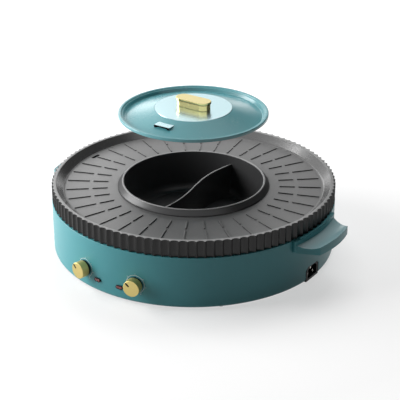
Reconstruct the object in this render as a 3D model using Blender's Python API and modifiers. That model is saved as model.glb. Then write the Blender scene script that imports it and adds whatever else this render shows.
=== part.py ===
"""Round countertop cooker: a divided hot pot that drops through a fluted grill pan, on a heated base.

Metres, +Z up. Z is the axis of the round body and zero is the table. The knobs are at -Y, the
handles at +X and -X. The lid hangs above its pot, as far up as a hand holds it.
"""
import math

import bmesh
import bpy
from mathutils import Matrix, Vector

# Clearances, overruns and the distance within which points are joined
SEAT_GAP = 0.0003
RUNNING_GAP = 0.0004
OVERRUN = 0.002
BITE = 0.0006
MERGE = 0.00001

# Base housing
BODY_RADIUS = 0.200
BODY_WALL = 0.003
BODY_HEIGHT = 0.074
BODY_LIFT = 0.003
EDGE_ROUND = 0.006
RIM_INWARD = 0.0026
LEDGE_WIDTH = 0.013
LEDGE_THICKNESS = 0.003
BODY_STEPS = 60

# Bottom cover, its screws and the feet
COVER_THICKNESS = 0.0025
COVER_SINK = 0.0004
VENT_COUNT = 12
VENT_LENGTH = 0.030
VENT_WIDTH = 0.004
VENT_CIRCLE = 0.085
FOOT_RADIUS = 0.010
FOOT_INSET = 0.035
FOOT_STEM_RADIUS = 0.003
FOOT_STEM_LENGTH = 0.0045
FOOT_TAPER = 0.001
SCREW_INSET = 0.0088
SCREW_SHANK_RADIUS = 0.0016
SCREW_SHANK_LENGTH = 0.014
SCREW_HEAD_RADIUS = 0.0030
SCREW_HEAD_HEIGHT = 0.0015
BOSS_RADIUS = 0.0062

# Grill pan
PAN_HEIGHT = 0.0237
PAN_RIM_WIDTH = 0.0064
PAN_SKIRT_WALL = 0.006
PAN_SLOPE_WIDTH = 0.0112
PLATE_DEPTH = 0.011
PLATE_THICKNESS = 0.003
PAN_HOLE_CLEARANCE = 0.0021
PAN_STEPS = 48
FLUTE_COUNT = 112
FLUTE_DEPTH = 0.0032
FLUTE_FACETS = 3
RIB_COUNT = 36
RIB_WIDTH = 0.002
RIB_HEIGHT = 0.0012
RIB_INNER_MARGIN = 0.0142
RIB_OUTER_MARGIN = 0.0028
RIB_BREAK = 0.0052
RIB_BREAK_SHARE = 0.37
DRAIN_LENGTH = 0.014
DRAIN_WIDTH = 0.004
DRAIN_INSET = 0.0060

# Divided pot
POT_RIM_RADIUS = 0.1014
POT_WALL = 0.003
POT_RIM_RISE = 0.0084
POT_DEPTH = 0.0611
POT_FLOOR_INSET = 0.0099
POT_CORNER = 0.009
POT_TAPER = 0.004
COLLAR_LAP = 0.0038
COLLAR_ROLL = 0.0014
DIVIDER_THICKNESS = 0.0024
DIVIDER_BELOW_RIM = 0.0129
DIVIDER_SWING = 0.0065
DIVIDER_POINTS = 20
POT_STEPS = 40

# Lid and its knob
LID_LAP = 0.0024
LID_WALL = 0.0013
LID_HOVER = 0.0995
LID_SKIRT = 0.0017
LID_RIM_RISE = 0.0027
LID_PLUG_GAP = 0.0018
LID_GUTTER_DEPTH = 0.0041
LID_DOME_RISE = 0.0121
LID_RIM_WIDTH = 0.0040
LID_BEAD_SETBACK = 0.0052
LID_BEAD_RISE = 0.0009
LID_STEPS = 40
DISC_CLEAR_OF_STEAM = 0.0086
DISC_THICKNESS = 0.0011
DISC_RECESS = 0.0010
GRIP_LENGTH = 0.0545
GRIP_WIDTH = 0.0225
GRIP_CAP_HEIGHT = 0.0033
GRIP_BLOCK_HEIGHT = 0.0082
GRIP_INSET = 0.0013
GRIP_END_STEPS = 8
GRIP_SCREW_RADIUS = 0.0020
GRIP_SCREW_HEAD_RADIUS = 0.0042
GRIP_SCREW_HEAD_HEIGHT = 0.0020
GRIP_SCREW_BITE = 0.0018
STEAM_LENGTH = 0.025
STEAM_INSET = 0.0196
STEAM_DEPTH = 0.0135
STEAM_RISE = 0.0034
STEAM_SHEET = 0.0010
STEAM_SLIT = 0.0050

# Handles
HANDLE_ROOT_HALF = 0.053
HANDLE_TIP_HALF = 0.0400
HANDLE_REACH = 0.0315
HANDLE_TIP_CURVE = 0.150
HANDLE_CORNER = 0.003
HANDLE_CORNER_STEPS = 5
HANDLE_THICKNESS = 0.0125
HANDLE_BELOW_TOP = 0.005
HANDLE_ARC_STEPS = 8
HANDLE_FLANGE_HEIGHT = 0.015
HANDLE_FLANGE_DEPTH = 0.0045
RIDGE_HALF = 0.0425
RIDGE_DEPTH = 0.0030
RIDGE_RISE = 0.002
RIDGE_CLEARANCE = 0.0007
SCOOP_RADIUS = 0.0256
SCOOP_INSIDE_TIP = 0.0142
SCOOP_DEPTH = 0.0035
GROOVE_RADIUS = 0.010
GROOVE_OFF_WALL = 0.017
GROOVE_DEPTH = 0.0045
GROOVE_HALF = 0.030
HANDLE_CUT_STEPS = 8
HANDLE_SCREW_BELOW_TOP = 0.0115
HANDLE_SCREW_BITE = 0.010

# Controls
KNOB_ANGLE = math.radians(11.9)
KNOB_HEIGHT = 0.0315
KNOB_RADIUS = 0.0113
KNOB_LENGTH = 0.0107
KNOB_EDGE = 0.0006
KNOB_STEPS = 16
POINTER_WIDTH = 0.0020
POINTER_LENGTH = 0.0062
POINTER_DEPTH = 0.0010
POINTER_EDGE_GAP = 0.0010
POINTER_TURN = math.radians(47)
BEZEL_RADIUS = 0.0106
BEZEL_HEIGHT = 0.0028
BEZEL_FLOOR = 0.0008
NUT_RADIUS = 0.0072
NUT_HEIGHT = 0.0016
BUSHING_RADIUS = 0.0045
SHAFT_RADIUS = 0.0030
SHAFT_IN_KNOB = 0.0080
SHAFT_IN_BODY = 0.0120
THERMOSTAT_WIDTH = 0.030
THERMOSTAT_HEIGHT = 0.026
THERMOSTAT_DEPTH = 0.020
TAB_SPACING = 0.016
TAB_HEIGHT = 0.0063
TAB_THICKNESS = 0.0010
TAB_LENGTH = 0.008

# Indicator lights
LIGHT_ANGLE = math.radians(5.2)
LIGHT_HEIGHT = 0.0218
LIGHT_WIDTH = 0.0110
LIGHT_TALL = 0.0056
LIGHT_FRAME = 0.0009
LIGHT_PROUD = 0.0016
LIGHT_SLEEVE = 0.0100
LENS_DEPTH = 0.0009
LENS_END_STEPS = 4

# Power inlet
INLET_ACROSS = -0.007
INLET_WIDTH = 0.0320
INLET_HEIGHT = 0.0210
INLET_LIFT = 0.0036
INLET_CHAMFER = 0.0045
INLET_DEPTH = 0.0225
INLET_SET_BACK = 0.0008
INLET_FLANGE_EXTRA = 0.0022
INLET_FLANGE_THICKNESS = 0.0016
SOCKET_WIDTH = 0.0242
SOCKET_HEIGHT = 0.0162
SOCKET_CHAMFER = 0.0040
SOCKET_DEPTH = 0.0160
SOCKET_WALL = 0.0013
PIN_SPACING = 0.0140
PIN_RISE = 0.0040
PIN_TALL = 0.0040
PIN_THICK = 0.0020
PIN_SET_BACK = 0.0030
PIN_TAIL = 0.0080

# Heating
SHIELD_SHEET = 0.0008
SHIELD_FLANGE_INSET = 0.008
SHIELD_INSIDE_LEDGE = 0.0064
SHIELD_DROP = 0.0150
WELL_AIR = 0.0071
WELL_BOTTOM = 0.0200
WELL_HOLE_RADIUS = 0.030
SHIELD_STEPS = 36
HOT_PLATE_INSET = 0.0015
HOT_PLATE_LIP = 0.0045
HOT_PLATE_FOOT_INSET = 0.0150
HOT_PLATE_STEPS = 32
STUD_SPACING = 0.044
STUD_RADIUS = 0.0025
STUD_LENGTH = 0.0070
ELEMENT_PLACE_SHARE = 0.548
ELEMENT_RADIUS = 0.0033
ELEMENT_GAP_ANGLE = math.radians(16)
ELEMENT_MIDDLE = math.radians(40)
ELEMENT_BEND = 0.012
ELEMENT_LEG = 0.008
ELEMENT_POINTS = 42
ELEMENT_BEND_POINTS = 4
CLIP_WIDTH = 0.010
CLIP_FOOT = 0.016
CLIP_SHEET = 0.0012
CLIP_CLEARANCE = 0.0009
CLIP_ARC_STEPS = 6

# Drip cup, terminal block, fuse and leads
CUP_HALF_ANGLE = math.radians(7)
CUP_WIDTH = 0.0165
CUP_HEIGHT = 0.0155
CUP_WALL = 0.0012
CUP_ARC_STEPS = 6
BLOCK_LENGTH = 0.034
BLOCK_WIDTH = 0.016
BLOCK_HEIGHT = 0.012
BLOCK_INSET = 0.055
BLOCK_ANGLE = math.radians(62)
BLOCK_POLE_SPACING = 0.011
FUSE_RADIUS = 0.0032
FUSE_LENGTH = 0.016
LEAD_RADIUS = 0.0013
LEAD_LEVEL = 0.0115
LEAD_END = 0.008
LEAD_POINTS = 7

# Heights and radii that follow from the sizes above
BODY_TOP = BODY_LIFT + BODY_HEIGHT
BODY_INSIDE = BODY_RADIUS - BODY_WALL
FOOT_CIRCLE = BODY_RADIUS - FOOT_INSET
SCREW_CIRCLE = BODY_RADIUS - SCREW_INSET
PAN_BOTTOM = BODY_TOP + SEAT_GAP
PAN_TOP = PAN_BOTTOM + PAN_HEIGHT
PLATE_TOP = PAN_TOP - PLATE_DEPTH
PLATE_BOTTOM = PLATE_TOP - PLATE_THICKNESS
PAN_LIP_RADIUS = BODY_RADIUS - PAN_RIM_WIDTH
PLATE_RADIUS = PAN_LIP_RADIUS - PAN_SLOPE_WIDTH
PAN_HOLE_RADIUS = POT_RIM_RADIUS + PAN_HOLE_CLEARANCE
COLLAR_RADIUS = PAN_HOLE_RADIUS + COLLAR_LAP
INNER_RIB_START = COLLAR_RADIUS + RIB_INNER_MARGIN
OUTER_RIB_END = PLATE_RADIUS - RIB_OUTER_MARGIN
INNER_RIB_END = INNER_RIB_START + (OUTER_RIB_END - INNER_RIB_START) * RIB_BREAK_SHARE
OUTER_RIB_START = INNER_RIB_END + RIB_BREAK
DRAIN_CIRCLE = PLATE_RADIUS - DRAIN_INSET
POT_TOP = PLATE_TOP + POT_RIM_RISE
POT_FLOOR = POT_TOP - POT_DEPTH
POT_BOTTOM = POT_FLOOR - POT_WALL
POT_CORNER_TOP = POT_FLOOR + POT_CORNER
POT_MOUTH_RADIUS = POT_RIM_RADIUS - POT_WALL
POT_LOW_RADIUS = POT_MOUTH_RADIUS - POT_TAPER
POT_FLOOR_RADIUS = POT_LOW_RADIUS - POT_FLOOR_INSET
LID_RADIUS = POT_RIM_RADIUS + LID_LAP
LID_GUTTER_RADIUS = POT_MOUTH_RADIUS - LID_PLUG_GAP - LID_WALL
LID_BEAD_RADIUS = LID_RADIUS - LID_BEAD_SETBACK
STEAM_RADIUS = LID_GUTTER_RADIUS - STEAM_INSET
DISC_RADIUS = STEAM_RADIUS - STEAM_DEPTH - DISC_CLEAR_OF_STEAM
LID_SEAT = POT_TOP + SEAT_GAP + LID_HOVER
LID_GUTTER = LID_SEAT - LID_GUTTER_DEPTH
LID_FLAT = LID_GUTTER + LID_DOME_RISE
LID_UNDER = LID_FLAT - DISC_RECESS - LID_WALL
DISC_BOTTOM = LID_FLAT - DISC_RECESS + SEAT_GAP
GRIP_BOTTOM = DISC_BOTTOM + DISC_THICKNESS + SEAT_GAP
CAP_BOTTOM = GRIP_BOTTOM + GRIP_BLOCK_HEIGHT + SEAT_GAP
COVER_BOTTOM = BODY_LIFT - COVER_SINK
COVER_TOP = COVER_BOTTOM + COVER_THICKNESS
SHIELD_TOP = BODY_TOP + SEAT_GAP
SHIELD_FLOOR = BODY_TOP - SHIELD_DROP
SHIELD_SEAT = SHIELD_FLOOR + SHIELD_SHEET + SEAT_GAP
SHIELD_FLANGE = BODY_RADIUS - SHIELD_FLANGE_INSET
SHIELD_RADIUS = BODY_RADIUS - LEDGE_WIDTH - SHIELD_INSIDE_LEDGE
WELL_RADIUS = POT_RIM_RADIUS + WELL_AIR
ELEMENT_CIRCLE = WELL_RADIUS + (SHIELD_RADIUS - WELL_RADIUS) * ELEMENT_PLACE_SHARE
BLOCK_CIRCLE = BODY_RADIUS - BLOCK_INSET
HOT_PLATE_RADIUS = POT_FLOOR_RADIUS - HOT_PLATE_INSET
HOT_PLATE_FOOT = HOT_PLATE_RADIUS - HOT_PLATE_FOOT_INSET
HOT_PLATE_BOTTOM = WELL_BOTTOM + SHIELD_SHEET + SEAT_GAP
HOT_PLATE_TOP = POT_BOTTOM - SEAT_GAP
ELEMENT_HEIGHT = PLATE_BOTTOM - SEAT_GAP - ELEMENT_RADIUS
HANDLE_TOP = BODY_TOP - HANDLE_BELOW_TOP
HANDLE_BOTTOM = HANDLE_TOP - HANDLE_THICKNESS
SCOOP_CIRCLE = BODY_RADIUS + HANDLE_REACH - SCOOP_INSIDE_TIP
GROOVE_CIRCLE = BODY_RADIUS + GROOVE_OFF_WALL
INLET_MIDDLE = INLET_LIFT + INLET_HEIGHT / 2
SOCKET_MIDDLE = COVER_TOP + 2 * SEAT_GAP + SOCKET_WALL + SOCKET_HEIGHT / 2
FULL_TURN = 2 * math.pi
WALL_FACET = FULL_TURN / BODY_STEPS
HANDLE_SCREW_ANGLE = 1.5 * WALL_FACET
CORNERS = {"front_right": math.radians(45), "rear_right": math.radians(135),
           "rear_left": math.radians(225), "front_left": math.radians(315)}

for old in list(bpy.data.objects):
    bpy.data.objects.remove(old, do_unlink=True)

parts = bpy.data.collections.new("hot_pot_grill")
cutters = bpy.data.collections.new("cutters")
bpy.context.scene.collection.children.link(parts)
bpy.context.scene.collection.children.link(cutters)


def finish(name, colour, roughness, metallic=0):
    """One Principled material."""
    mat = bpy.data.materials.new(name)
    mat.use_nodes = True
    shader = mat.node_tree.nodes["Principled BSDF"]
    shader.inputs["Base Color"].default_value = (*colour, 1)
    shader.inputs["Roughness"].default_value = roughness
    shader.inputs["Metallic"].default_value = metallic
    return mat


def add_part(name, mesh, mat, parent=None):
    """Link a mesh or curve as one named piece."""
    part = bpy.data.objects.new(name, mesh)
    part.data.materials.append(mat)
    part.parent = parent
    parts.objects.link(part)
    return part


def add_cutter(name, mesh, parent=None):
    """Link a shape that only cuts or joins other pieces."""
    tool = bpy.data.objects.new(name, mesh)
    tool.hide_render = True
    tool.display_type = "WIRE"
    tool.parent = parent
    cutters.objects.link(tool)
    return tool


def combine(part, tool, operation="DIFFERENCE"):
    """Cut, join or intersect a piece with a tool."""
    step = part.modifiers.new(tool.name, "BOOLEAN")
    step.operation = operation
    step.solver = "EXACT"
    step.object = tool


def mesh_of(name, shape):
    """Turn a bmesh into a mesh, smooth but for its real edges."""
    mesh = bpy.data.meshes.new(name)
    shape.to_mesh(mesh)
    shape.free()
    mesh.shade_smooth()
    mesh.set_sharp_from_angle(angle=math.radians(35))
    return mesh


def add_cylinder(shape, radius, low, high, sides, place=Matrix.Identity(4)):
    """Add a cylinder along Z to a bmesh."""
    middle = Matrix.Translation((0, 0, (low + high) / 2))
    bmesh.ops.create_cone(shape, cap_ends=True, segments=sides, radius1=radius, radius2=radius,
                          depth=high - low, matrix=place @ middle)


def add_box(shape, low, high, place=Matrix.Identity(4)):
    """Add a box between two corners to a bmesh."""
    size = [b - a for a, b in zip(low, high)]
    middle = [(a + b) / 2 for a, b in zip(low, high)]
    stretched = Matrix.Translation(middle) @ Matrix.Diagonal((*size, 1))
    bmesh.ops.create_cube(shape, size=1, matrix=place @ stretched)


def cylinder_mesh(name, radius, low, high, sides):
    """One cylinder along Z."""
    shape = bmesh.new()
    add_cylinder(shape, radius, low, high, sides)
    return mesh_of(name, shape)


def box_mesh(name, low, high):
    """One box between two corners."""
    shape = bmesh.new()
    add_box(shape, low, high)
    return mesh_of(name, shape)


def profile_mesh(name, points, closed):
    """A (radius, height) outline in the XZ plane, as edges."""
    mesh = bpy.data.meshes.new(name)
    shape = bmesh.new()
    corners = [shape.verts.new((radius, 0, height)) for radius, height in points]
    for start, end in zip(corners, corners[1:]):
        shape.edges.new((start, end))
    if closed:
        shape.edges.new((corners[-1], corners[0]))
    shape.to_mesh(mesh)
    shape.free()
    return mesh


def turn(piece, steps):
    """Turn an outline round its Z axis."""
    screw = piece.modifiers.new("turned", "SCREW")
    screw.axis = "Z"
    screw.angle = FULL_TURN
    screw.steps = steps
    screw.render_steps = steps
    screw.use_merge_vertices = True
    screw.merge_threshold = MERGE
    screw.use_smooth_shade = True
    return piece


def turned_part(name, points, steps, mat, closed=True, parent=None):
    """A turned piece. Its outline runs down the outer side."""
    return turn(add_part(name, profile_mesh(name, points, closed), mat, parent), steps)


def turned_cutter(name, points, steps, closed=True, parent=None):
    """A turned tool. Its outline runs down the outer side."""
    return turn(add_cutter(name, profile_mesh(name, points, closed), parent), steps)


def outline_mesh(name, points, low, high):
    """A flat outline given thickness between two heights, as a closed mesh."""
    curve = bpy.data.curves.new(name, "CURVE")
    curve.dimensions = "2D"
    curve.fill_mode = "BOTH"
    curve.extrude = (high - low) / 2
    line = curve.splines.new("POLY")
    line.points.add(len(points) - 1)
    for point, (across, along) in zip(line.points, points):
        point.co = (across, along, 0, 1)
    line.use_cyclic_u = True
    source = bpy.data.objects.new(name, curve)
    bpy.context.scene.collection.objects.link(source)
    ready = source.evaluated_get(bpy.context.evaluated_depsgraph_get())
    flat = bpy.data.meshes.new_from_object(ready)
    bpy.data.objects.remove(source)
    shape = bmesh.new()
    shape.from_mesh(flat)
    bmesh.ops.remove_doubles(shape, verts=shape.verts, dist=MERGE)
    bmesh.ops.recalc_face_normals(shape, faces=shape.faces)
    bmesh.ops.translate(shape, verts=shape.verts, vec=(0, 0, (low + high) / 2))
    return mesh_of(name, shape)


def stadium(length, width, steps):
    """A long outline with half-round ends, its length along X."""
    radius = width / 2
    offset = length / 2 - radius
    points = []
    for end in (1, -1):
        for step in range(steps + 1):
            angle = math.pi * (step / steps - 1 / 2)
            points.append((end * (offset + radius * math.cos(angle)), end * radius * math.sin(angle)))
    return points


def chamfered(width, height, chamfer, middle=0):
    """A rectangle with its two upper corners cut off."""
    half = width / 2
    low = middle - height / 2
    top = middle + height / 2
    return [(-half, low), (half, low), (half, top - chamfer), (half - chamfer, top),
            (-half + chamfer, top), (-half, top - chamfer)]


def around(radius, angle):
    """X and Y of a point; the angle starts at the front and runs towards +X."""
    return radius * math.sin(angle), -radius * math.cos(angle)


def sector(inner, outer, middle, half, steps):
    """A piece of a flat ring, round a middle angle."""
    angles = [middle + half * (2 * step / steps - 1) for step in range(steps + 1)]
    return [around(outer, angle) for angle in angles] + [around(inner, angle) for angle in reversed(angles)]


def outward(angle, radius, height):
    """A place on the wall whose Z points straight out and whose Y points up."""
    turned = Matrix.Rotation(angle, 4, "Z") @ Matrix.Rotation(math.pi / 2, 4, "X")
    return Matrix.Translation((*around(radius, angle), height)) @ turned


def add_empty(name, place):
    """An empty that carries the pieces at one place."""
    empty = bpy.data.objects.new(name, None)
    parts.objects.link(empty)
    empty.matrix_world = place
    return empty


def behind_wall(reach):
    """How far from the axis a flat face can stand, inside the wall, out to a reach on either side."""
    clear = BODY_INSIDE * math.cos(WALL_FACET / 2) - SEAT_GAP
    return math.sqrt(clear * clear - reach * reach)


def headed_screw(shank, length, head, thickness, seat):
    """Outline of a screw whose shank rises from under its seat."""
    return [(0, seat + length), (shank, seat + length), (shank, seat), (head, seat),
            (head, seat - thickness), (0, seat - thickness)]


def arc(middle, radius, start, stop, steps):
    """Points on part of a circle."""
    points = []
    for step in range(steps + 1):
        angle = start + (stop - start) * step / steps
        points.append((middle[0] + radius * math.cos(angle), middle[1] + radius * math.sin(angle)))
    return points


teal_gloss = finish("teal_gloss", (0.16, 0.42, 0.44), 0.3)
pale_teal = finish("polished_teal", (0.55, 0.72, 0.74), 0.08, 0.6)
coated = finish("dark_coating", (0.03, 0.03, 0.03), 0.35, 0.3)
plate_coating = finish("plate_coating", (0.22, 0.22, 0.22), 0.5, 0.4)
gold = finish("gold", (0.83, 0.62, 0.27), 0.2, 1)
black = finish("black_plastic", (0.01, 0.01, 0.01), 0.4)
steel = finish("steel", (0.55, 0.55, 0.55), 0.35, 1)
cast_aluminium = finish("cast_aluminium", (0.50, 0.50, 0.50), 0.45, 1)
red = finish("red_lens", (0.25, 0.02, 0.02), 0.1)
rubber = finish("rubber", (0.03, 0.03, 0.03), 0.8)
ceramic = finish("ceramic", (0.75, 0.75, 0.72), 0.6)
sheath = finish("lead_sheath", (0.62, 0.58, 0.50), 0.5)


def base_shell():
    """The round housing, with its ledge, screw bosses and every hole in its wall."""
    rim = BODY_INSIDE - RIM_INWARD
    slant = EDGE_ROUND * (1 - math.cos(math.pi / 4))
    ledge = BODY_RADIUS - LEDGE_WIDTH
    outline = [
        (BODY_RADIUS, BODY_TOP),
        (BODY_RADIUS, BODY_LIFT + EDGE_ROUND),
        (BODY_RADIUS - slant, BODY_LIFT + slant),
        (BODY_RADIUS - EDGE_ROUND + slant / 2, BODY_LIFT),
        (rim, BODY_LIFT),
        (rim, BODY_LIFT + BODY_WALL),
        (BODY_INSIDE, BODY_LIFT + EDGE_ROUND),
        (BODY_INSIDE, BODY_TOP - LEDGE_THICKNESS),
        (ledge, BODY_TOP - LEDGE_THICKNESS),
        (ledge, BODY_TOP),
    ]
    housing = turned_part("base_shell", outline, BODY_STEPS, teal_gloss)

    bosses = bmesh.new()
    holes = bmesh.new()
    low = COVER_TOP + SEAT_GAP
    for angle in CORNERS.values():
        place = Matrix.Translation((*around(SCREW_CIRCLE, angle), 0))
        add_cylinder(bosses, BOSS_RADIUS, low, BODY_TOP - LEDGE_THICKNESS + BITE, 12, place)
        add_cylinder(holes, SCREW_SHANK_RADIUS + RUNNING_GAP, low - OVERRUN, low + SCREW_SHANK_LENGTH, 8,
                     place)
    combine(housing, add_cutter("screw_bosses", mesh_of("screw_bosses", bosses)), "UNION")
    combine(housing, add_cutter("boss_holes", mesh_of("boss_holes", holes)))

    holes = bmesh.new()
    for side in (-1, 1):
        place = outward(side * KNOB_ANGLE, BODY_RADIUS, KNOB_HEIGHT)
        add_cylinder(holes, BUSHING_RADIUS + RUNNING_GAP, -BODY_WALL - OVERRUN, OVERRUN, 12, place)
        place = outward(side * LIGHT_ANGLE, BODY_RADIUS, LIGHT_HEIGHT)
        half_width = LIGHT_WIDTH / 2 - LIGHT_FRAME
        half_height = LIGHT_TALL / 2 - LIGHT_FRAME
        add_box(holes, (-half_width, -half_height, -BODY_WALL - OVERRUN),
                (half_width, half_height, OVERRUN), place)
        for end in (-1, 1):
            place = outward(side * math.pi / 2 + end * HANDLE_SCREW_ANGLE, BODY_RADIUS,
                            BODY_TOP - HANDLE_SCREW_BELOW_TOP)
            add_cylinder(holes, SCREW_SHANK_RADIUS + RUNNING_GAP, -BODY_WALL - OVERRUN, OVERRUN, 8, place)
    combine(housing, add_cutter("wall_holes", mesh_of("wall_holes", holes)))

    clearance = 2 * SEAT_GAP
    opening = chamfered(INLET_WIDTH + clearance, INLET_HEIGHT + INLET_LIFT + clearance, INLET_CHAMFER,
                        (INLET_HEIGHT + INLET_LIFT) / 2 - INLET_MIDDLE)
    reach = BODY_WALL + RIM_INWARD + EDGE_ROUND
    notch = outline_mesh("inlet_notch", opening, -reach, OVERRUN)
    combine(housing, add_cutter("inlet_notch", notch, inlet_place))


def bottom_parts():
    """The cover under the base, its four screws and the four rubber feet."""
    radius = BODY_INSIDE - RIM_INWARD - SEAT_GAP
    plate = cylinder_mesh("bottom_cover", radius, COVER_BOTTOM, COVER_TOP, BODY_STEPS)
    cover = add_part("bottom_cover", plate, steel)
    holes = bmesh.new()
    for index in range(VENT_COUNT):
        spin = Matrix.Rotation(FULL_TURN * (index + 0.5) / VENT_COUNT, 4, "Z")
        add_box(holes, (-VENT_WIDTH / 2, VENT_CIRCLE - VENT_LENGTH / 2, -OVERRUN),
                (VENT_WIDTH / 2, VENT_CIRCLE + VENT_LENGTH / 2, COVER_TOP + OVERRUN), spin)
    for angle in CORNERS.values():
        place = Matrix.Translation((*around(SCREW_CIRCLE, angle), 0))
        add_cylinder(holes, SCREW_SHANK_RADIUS + RUNNING_GAP, -OVERRUN, COVER_TOP + OVERRUN, 8, place)
        place = Matrix.Translation((*around(FOOT_CIRCLE, angle), 0))
        add_cylinder(holes, FOOT_STEM_RADIUS + RUNNING_GAP, -OVERRUN, COVER_TOP + OVERRUN, 8, place)
    combine(cover, add_cutter("cover_holes", mesh_of("cover_holes", holes)))

    seat = COVER_BOTTOM - SEAT_GAP
    screw_outline = headed_screw(SCREW_SHANK_RADIUS, SCREW_SHANK_LENGTH, SCREW_HEAD_RADIUS,
                                 SCREW_HEAD_HEIGHT, seat)
    foot_outline = [(0, seat + FOOT_STEM_LENGTH), (FOOT_STEM_RADIUS, seat + FOOT_STEM_LENGTH),
                    (FOOT_STEM_RADIUS, seat), (FOOT_RADIUS, seat), (FOOT_RADIUS - FOOT_TAPER, 0), (0, 0)]
    for corner, angle in CORNERS.items():
        screw = turned_part("cover_screw_" + corner, screw_outline, 8, steel, closed=False)
        screw.location = (*around(SCREW_CIRCLE, angle), 0)
        foot = turned_part("foot_" + corner, foot_outline, 16, rubber, closed=False)
        foot.location = (*around(FOOT_CIRCLE, angle), 0)


def fluted_outline():
    """The pan's outside: shallow concave flutes that meet in sharp crests."""
    pitch = FULL_TURN / FLUTE_COUNT
    half_chord = BODY_RADIUS * math.sin(pitch / 2)
    sink = FLUTE_DEPTH - BODY_RADIUS * (1 - math.cos(pitch / 2))
    hollow = (half_chord * half_chord + sink * sink) / (2 * sink)
    centre = BODY_RADIUS - FLUTE_DEPTH + hollow
    opening = math.asin(half_chord / hollow)
    points = []
    for flute in range(FLUTE_COUNT):
        middle = Vector((math.cos((flute + 0.5) * pitch), math.sin((flute + 0.5) * pitch)))
        side = Vector((-middle.y, middle.x))
        for facet in range(FLUTE_FACETS):
            bend = opening * (2 * facet / FLUTE_FACETS - 1)
            point = middle * (centre - hollow * math.cos(bend)) + side * hollow * math.sin(bend)
            points.append((point.x, point.y))
    return points


def grill_pan():
    """The cast pan: flat scalloped rim, fluted skirt, sunken plate with two rings of ribs."""
    skirt = BODY_RADIUS - PAN_SKIRT_WALL
    slope = PAN_LIP_RADIUS - PLATE_RADIUS
    outline = [
        (BODY_RADIUS + OVERRUN, PAN_TOP),
        (BODY_RADIUS + OVERRUN, PAN_BOTTOM),
        (skirt, PAN_BOTTOM),
        (skirt, PAN_TOP - PLATE_THICKNESS - PLATE_DEPTH / 2),
        (skirt - slope, PLATE_BOTTOM),
        (PAN_HOLE_RADIUS, PLATE_BOTTOM),
        (PAN_HOLE_RADIUS, PLATE_TOP),
        (PLATE_RADIUS, PLATE_TOP),
        (PAN_LIP_RADIUS, PAN_TOP),
    ]
    pan = turned_part("grill_pan", outline, PAN_STEPS, plate_coating)
    ribs = bmesh.new()
    for index in range(RIB_COUNT):
        spin = Matrix.Rotation(FULL_TURN * index / RIB_COUNT, 4, "Z")
        for start, end in ((INNER_RIB_START, INNER_RIB_END), (OUTER_RIB_START, OUTER_RIB_END)):
            add_box(ribs, (-RIB_WIDTH / 2, start, PLATE_TOP - BITE),
                    (RIB_WIDTH / 2, end, PLATE_TOP + RIB_HEIGHT), spin)
    combine(pan, add_cutter("plate_ribs", mesh_of("plate_ribs", ribs)), "UNION")

    low = (-DRAIN_CIRCLE - DRAIN_WIDTH / 2, -DRAIN_LENGTH / 2, PLATE_BOTTOM - OVERRUN)
    high = (-DRAIN_CIRCLE + DRAIN_WIDTH / 2, DRAIN_LENGTH / 2, PLATE_TOP + RIB_HEIGHT + OVERRUN)
    slot = box_mesh("drain_slot", low, high)
    combine(pan, add_cutter("drain_slot", slot))
    flutes = outline_mesh("skirt_flutes", fluted_outline(), PAN_BOTTOM - OVERRUN, PAN_TOP + OVERRUN)
    combine(pan, add_cutter("skirt_flutes", flutes), "INTERSECT")


def pot():
    """The pot: tapered bowl, sloping collar that rests on the pan, and the S-shaped divider."""
    seat = PLATE_TOP + SEAT_GAP
    turn_in = POT_CORNER * (1 - math.cos(math.pi / 4))
    corner_radius = POT_LOW_RADIUS - (POT_LOW_RADIUS - POT_FLOOR_RADIUS) * (1 - math.cos(math.pi / 4))
    outline = [
        (0, POT_FLOOR),
        (POT_FLOOR_RADIUS, POT_FLOOR),
        (corner_radius, POT_FLOOR + turn_in),
        (POT_LOW_RADIUS, POT_CORNER_TOP),
        (POT_MOUTH_RADIUS, POT_TOP - COLLAR_ROLL / 2),
        (POT_RIM_RADIUS - POT_WALL / 2, POT_TOP),
        (POT_RIM_RADIUS, POT_TOP - COLLAR_ROLL / 2),
        (COLLAR_RADIUS - COLLAR_ROLL, seat + 2 * COLLAR_ROLL),
        (COLLAR_RADIUS, seat + COLLAR_ROLL),
        (COLLAR_RADIUS - COLLAR_ROLL, seat),
        (POT_MOUTH_RADIUS + POT_WALL, seat),
        (POT_LOW_RADIUS + POT_WALL, POT_CORNER_TOP),
        (corner_radius + POT_WALL / 2, POT_FLOOR + turn_in - POT_WALL / 2),
        (POT_FLOOR_RADIUS, POT_BOTTOM),
        (0, POT_BOTTOM),
    ]
    bowl = turned_part("pot", outline, POT_STEPS, coated, closed=False)

    left = []
    right = []
    for index in range(DIVIDER_POINTS + 1):
        share = 2 * index / DIVIDER_POINTS - 1
        middle = Vector((-DIVIDER_SWING * math.sin(math.pi * share), POT_RIM_RADIUS * share))
        lean = -DIVIDER_SWING * math.pi * math.cos(math.pi * share) / POT_RIM_RADIUS
        side = Vector((1, -lean)).normalized() * DIVIDER_THICKNESS / 2
        right.append(tuple(middle + side))
        left.append(tuple(middle - side))
    top = POT_TOP - DIVIDER_BELOW_RIM
    divider = add_cutter("divider", outline_mesh("divider", right + left[::-1], POT_BOTTOM, top))
    core_outline = [
        (0, top + OVERRUN),
        (POT_LOW_RADIUS + POT_WALL / 2, top + OVERRUN),
        (POT_LOW_RADIUS + POT_WALL / 2, POT_CORNER_TOP),
        (POT_FLOOR_RADIUS, POT_FLOOR - POT_WALL / 2),
        (0, POT_FLOOR - POT_WALL / 2),
    ]
    combine(divider, turned_cutter("pot_core", core_outline, POT_STEPS, closed=False), "INTERSECT")
    combine(bowl, divider, "UNION")


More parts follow.
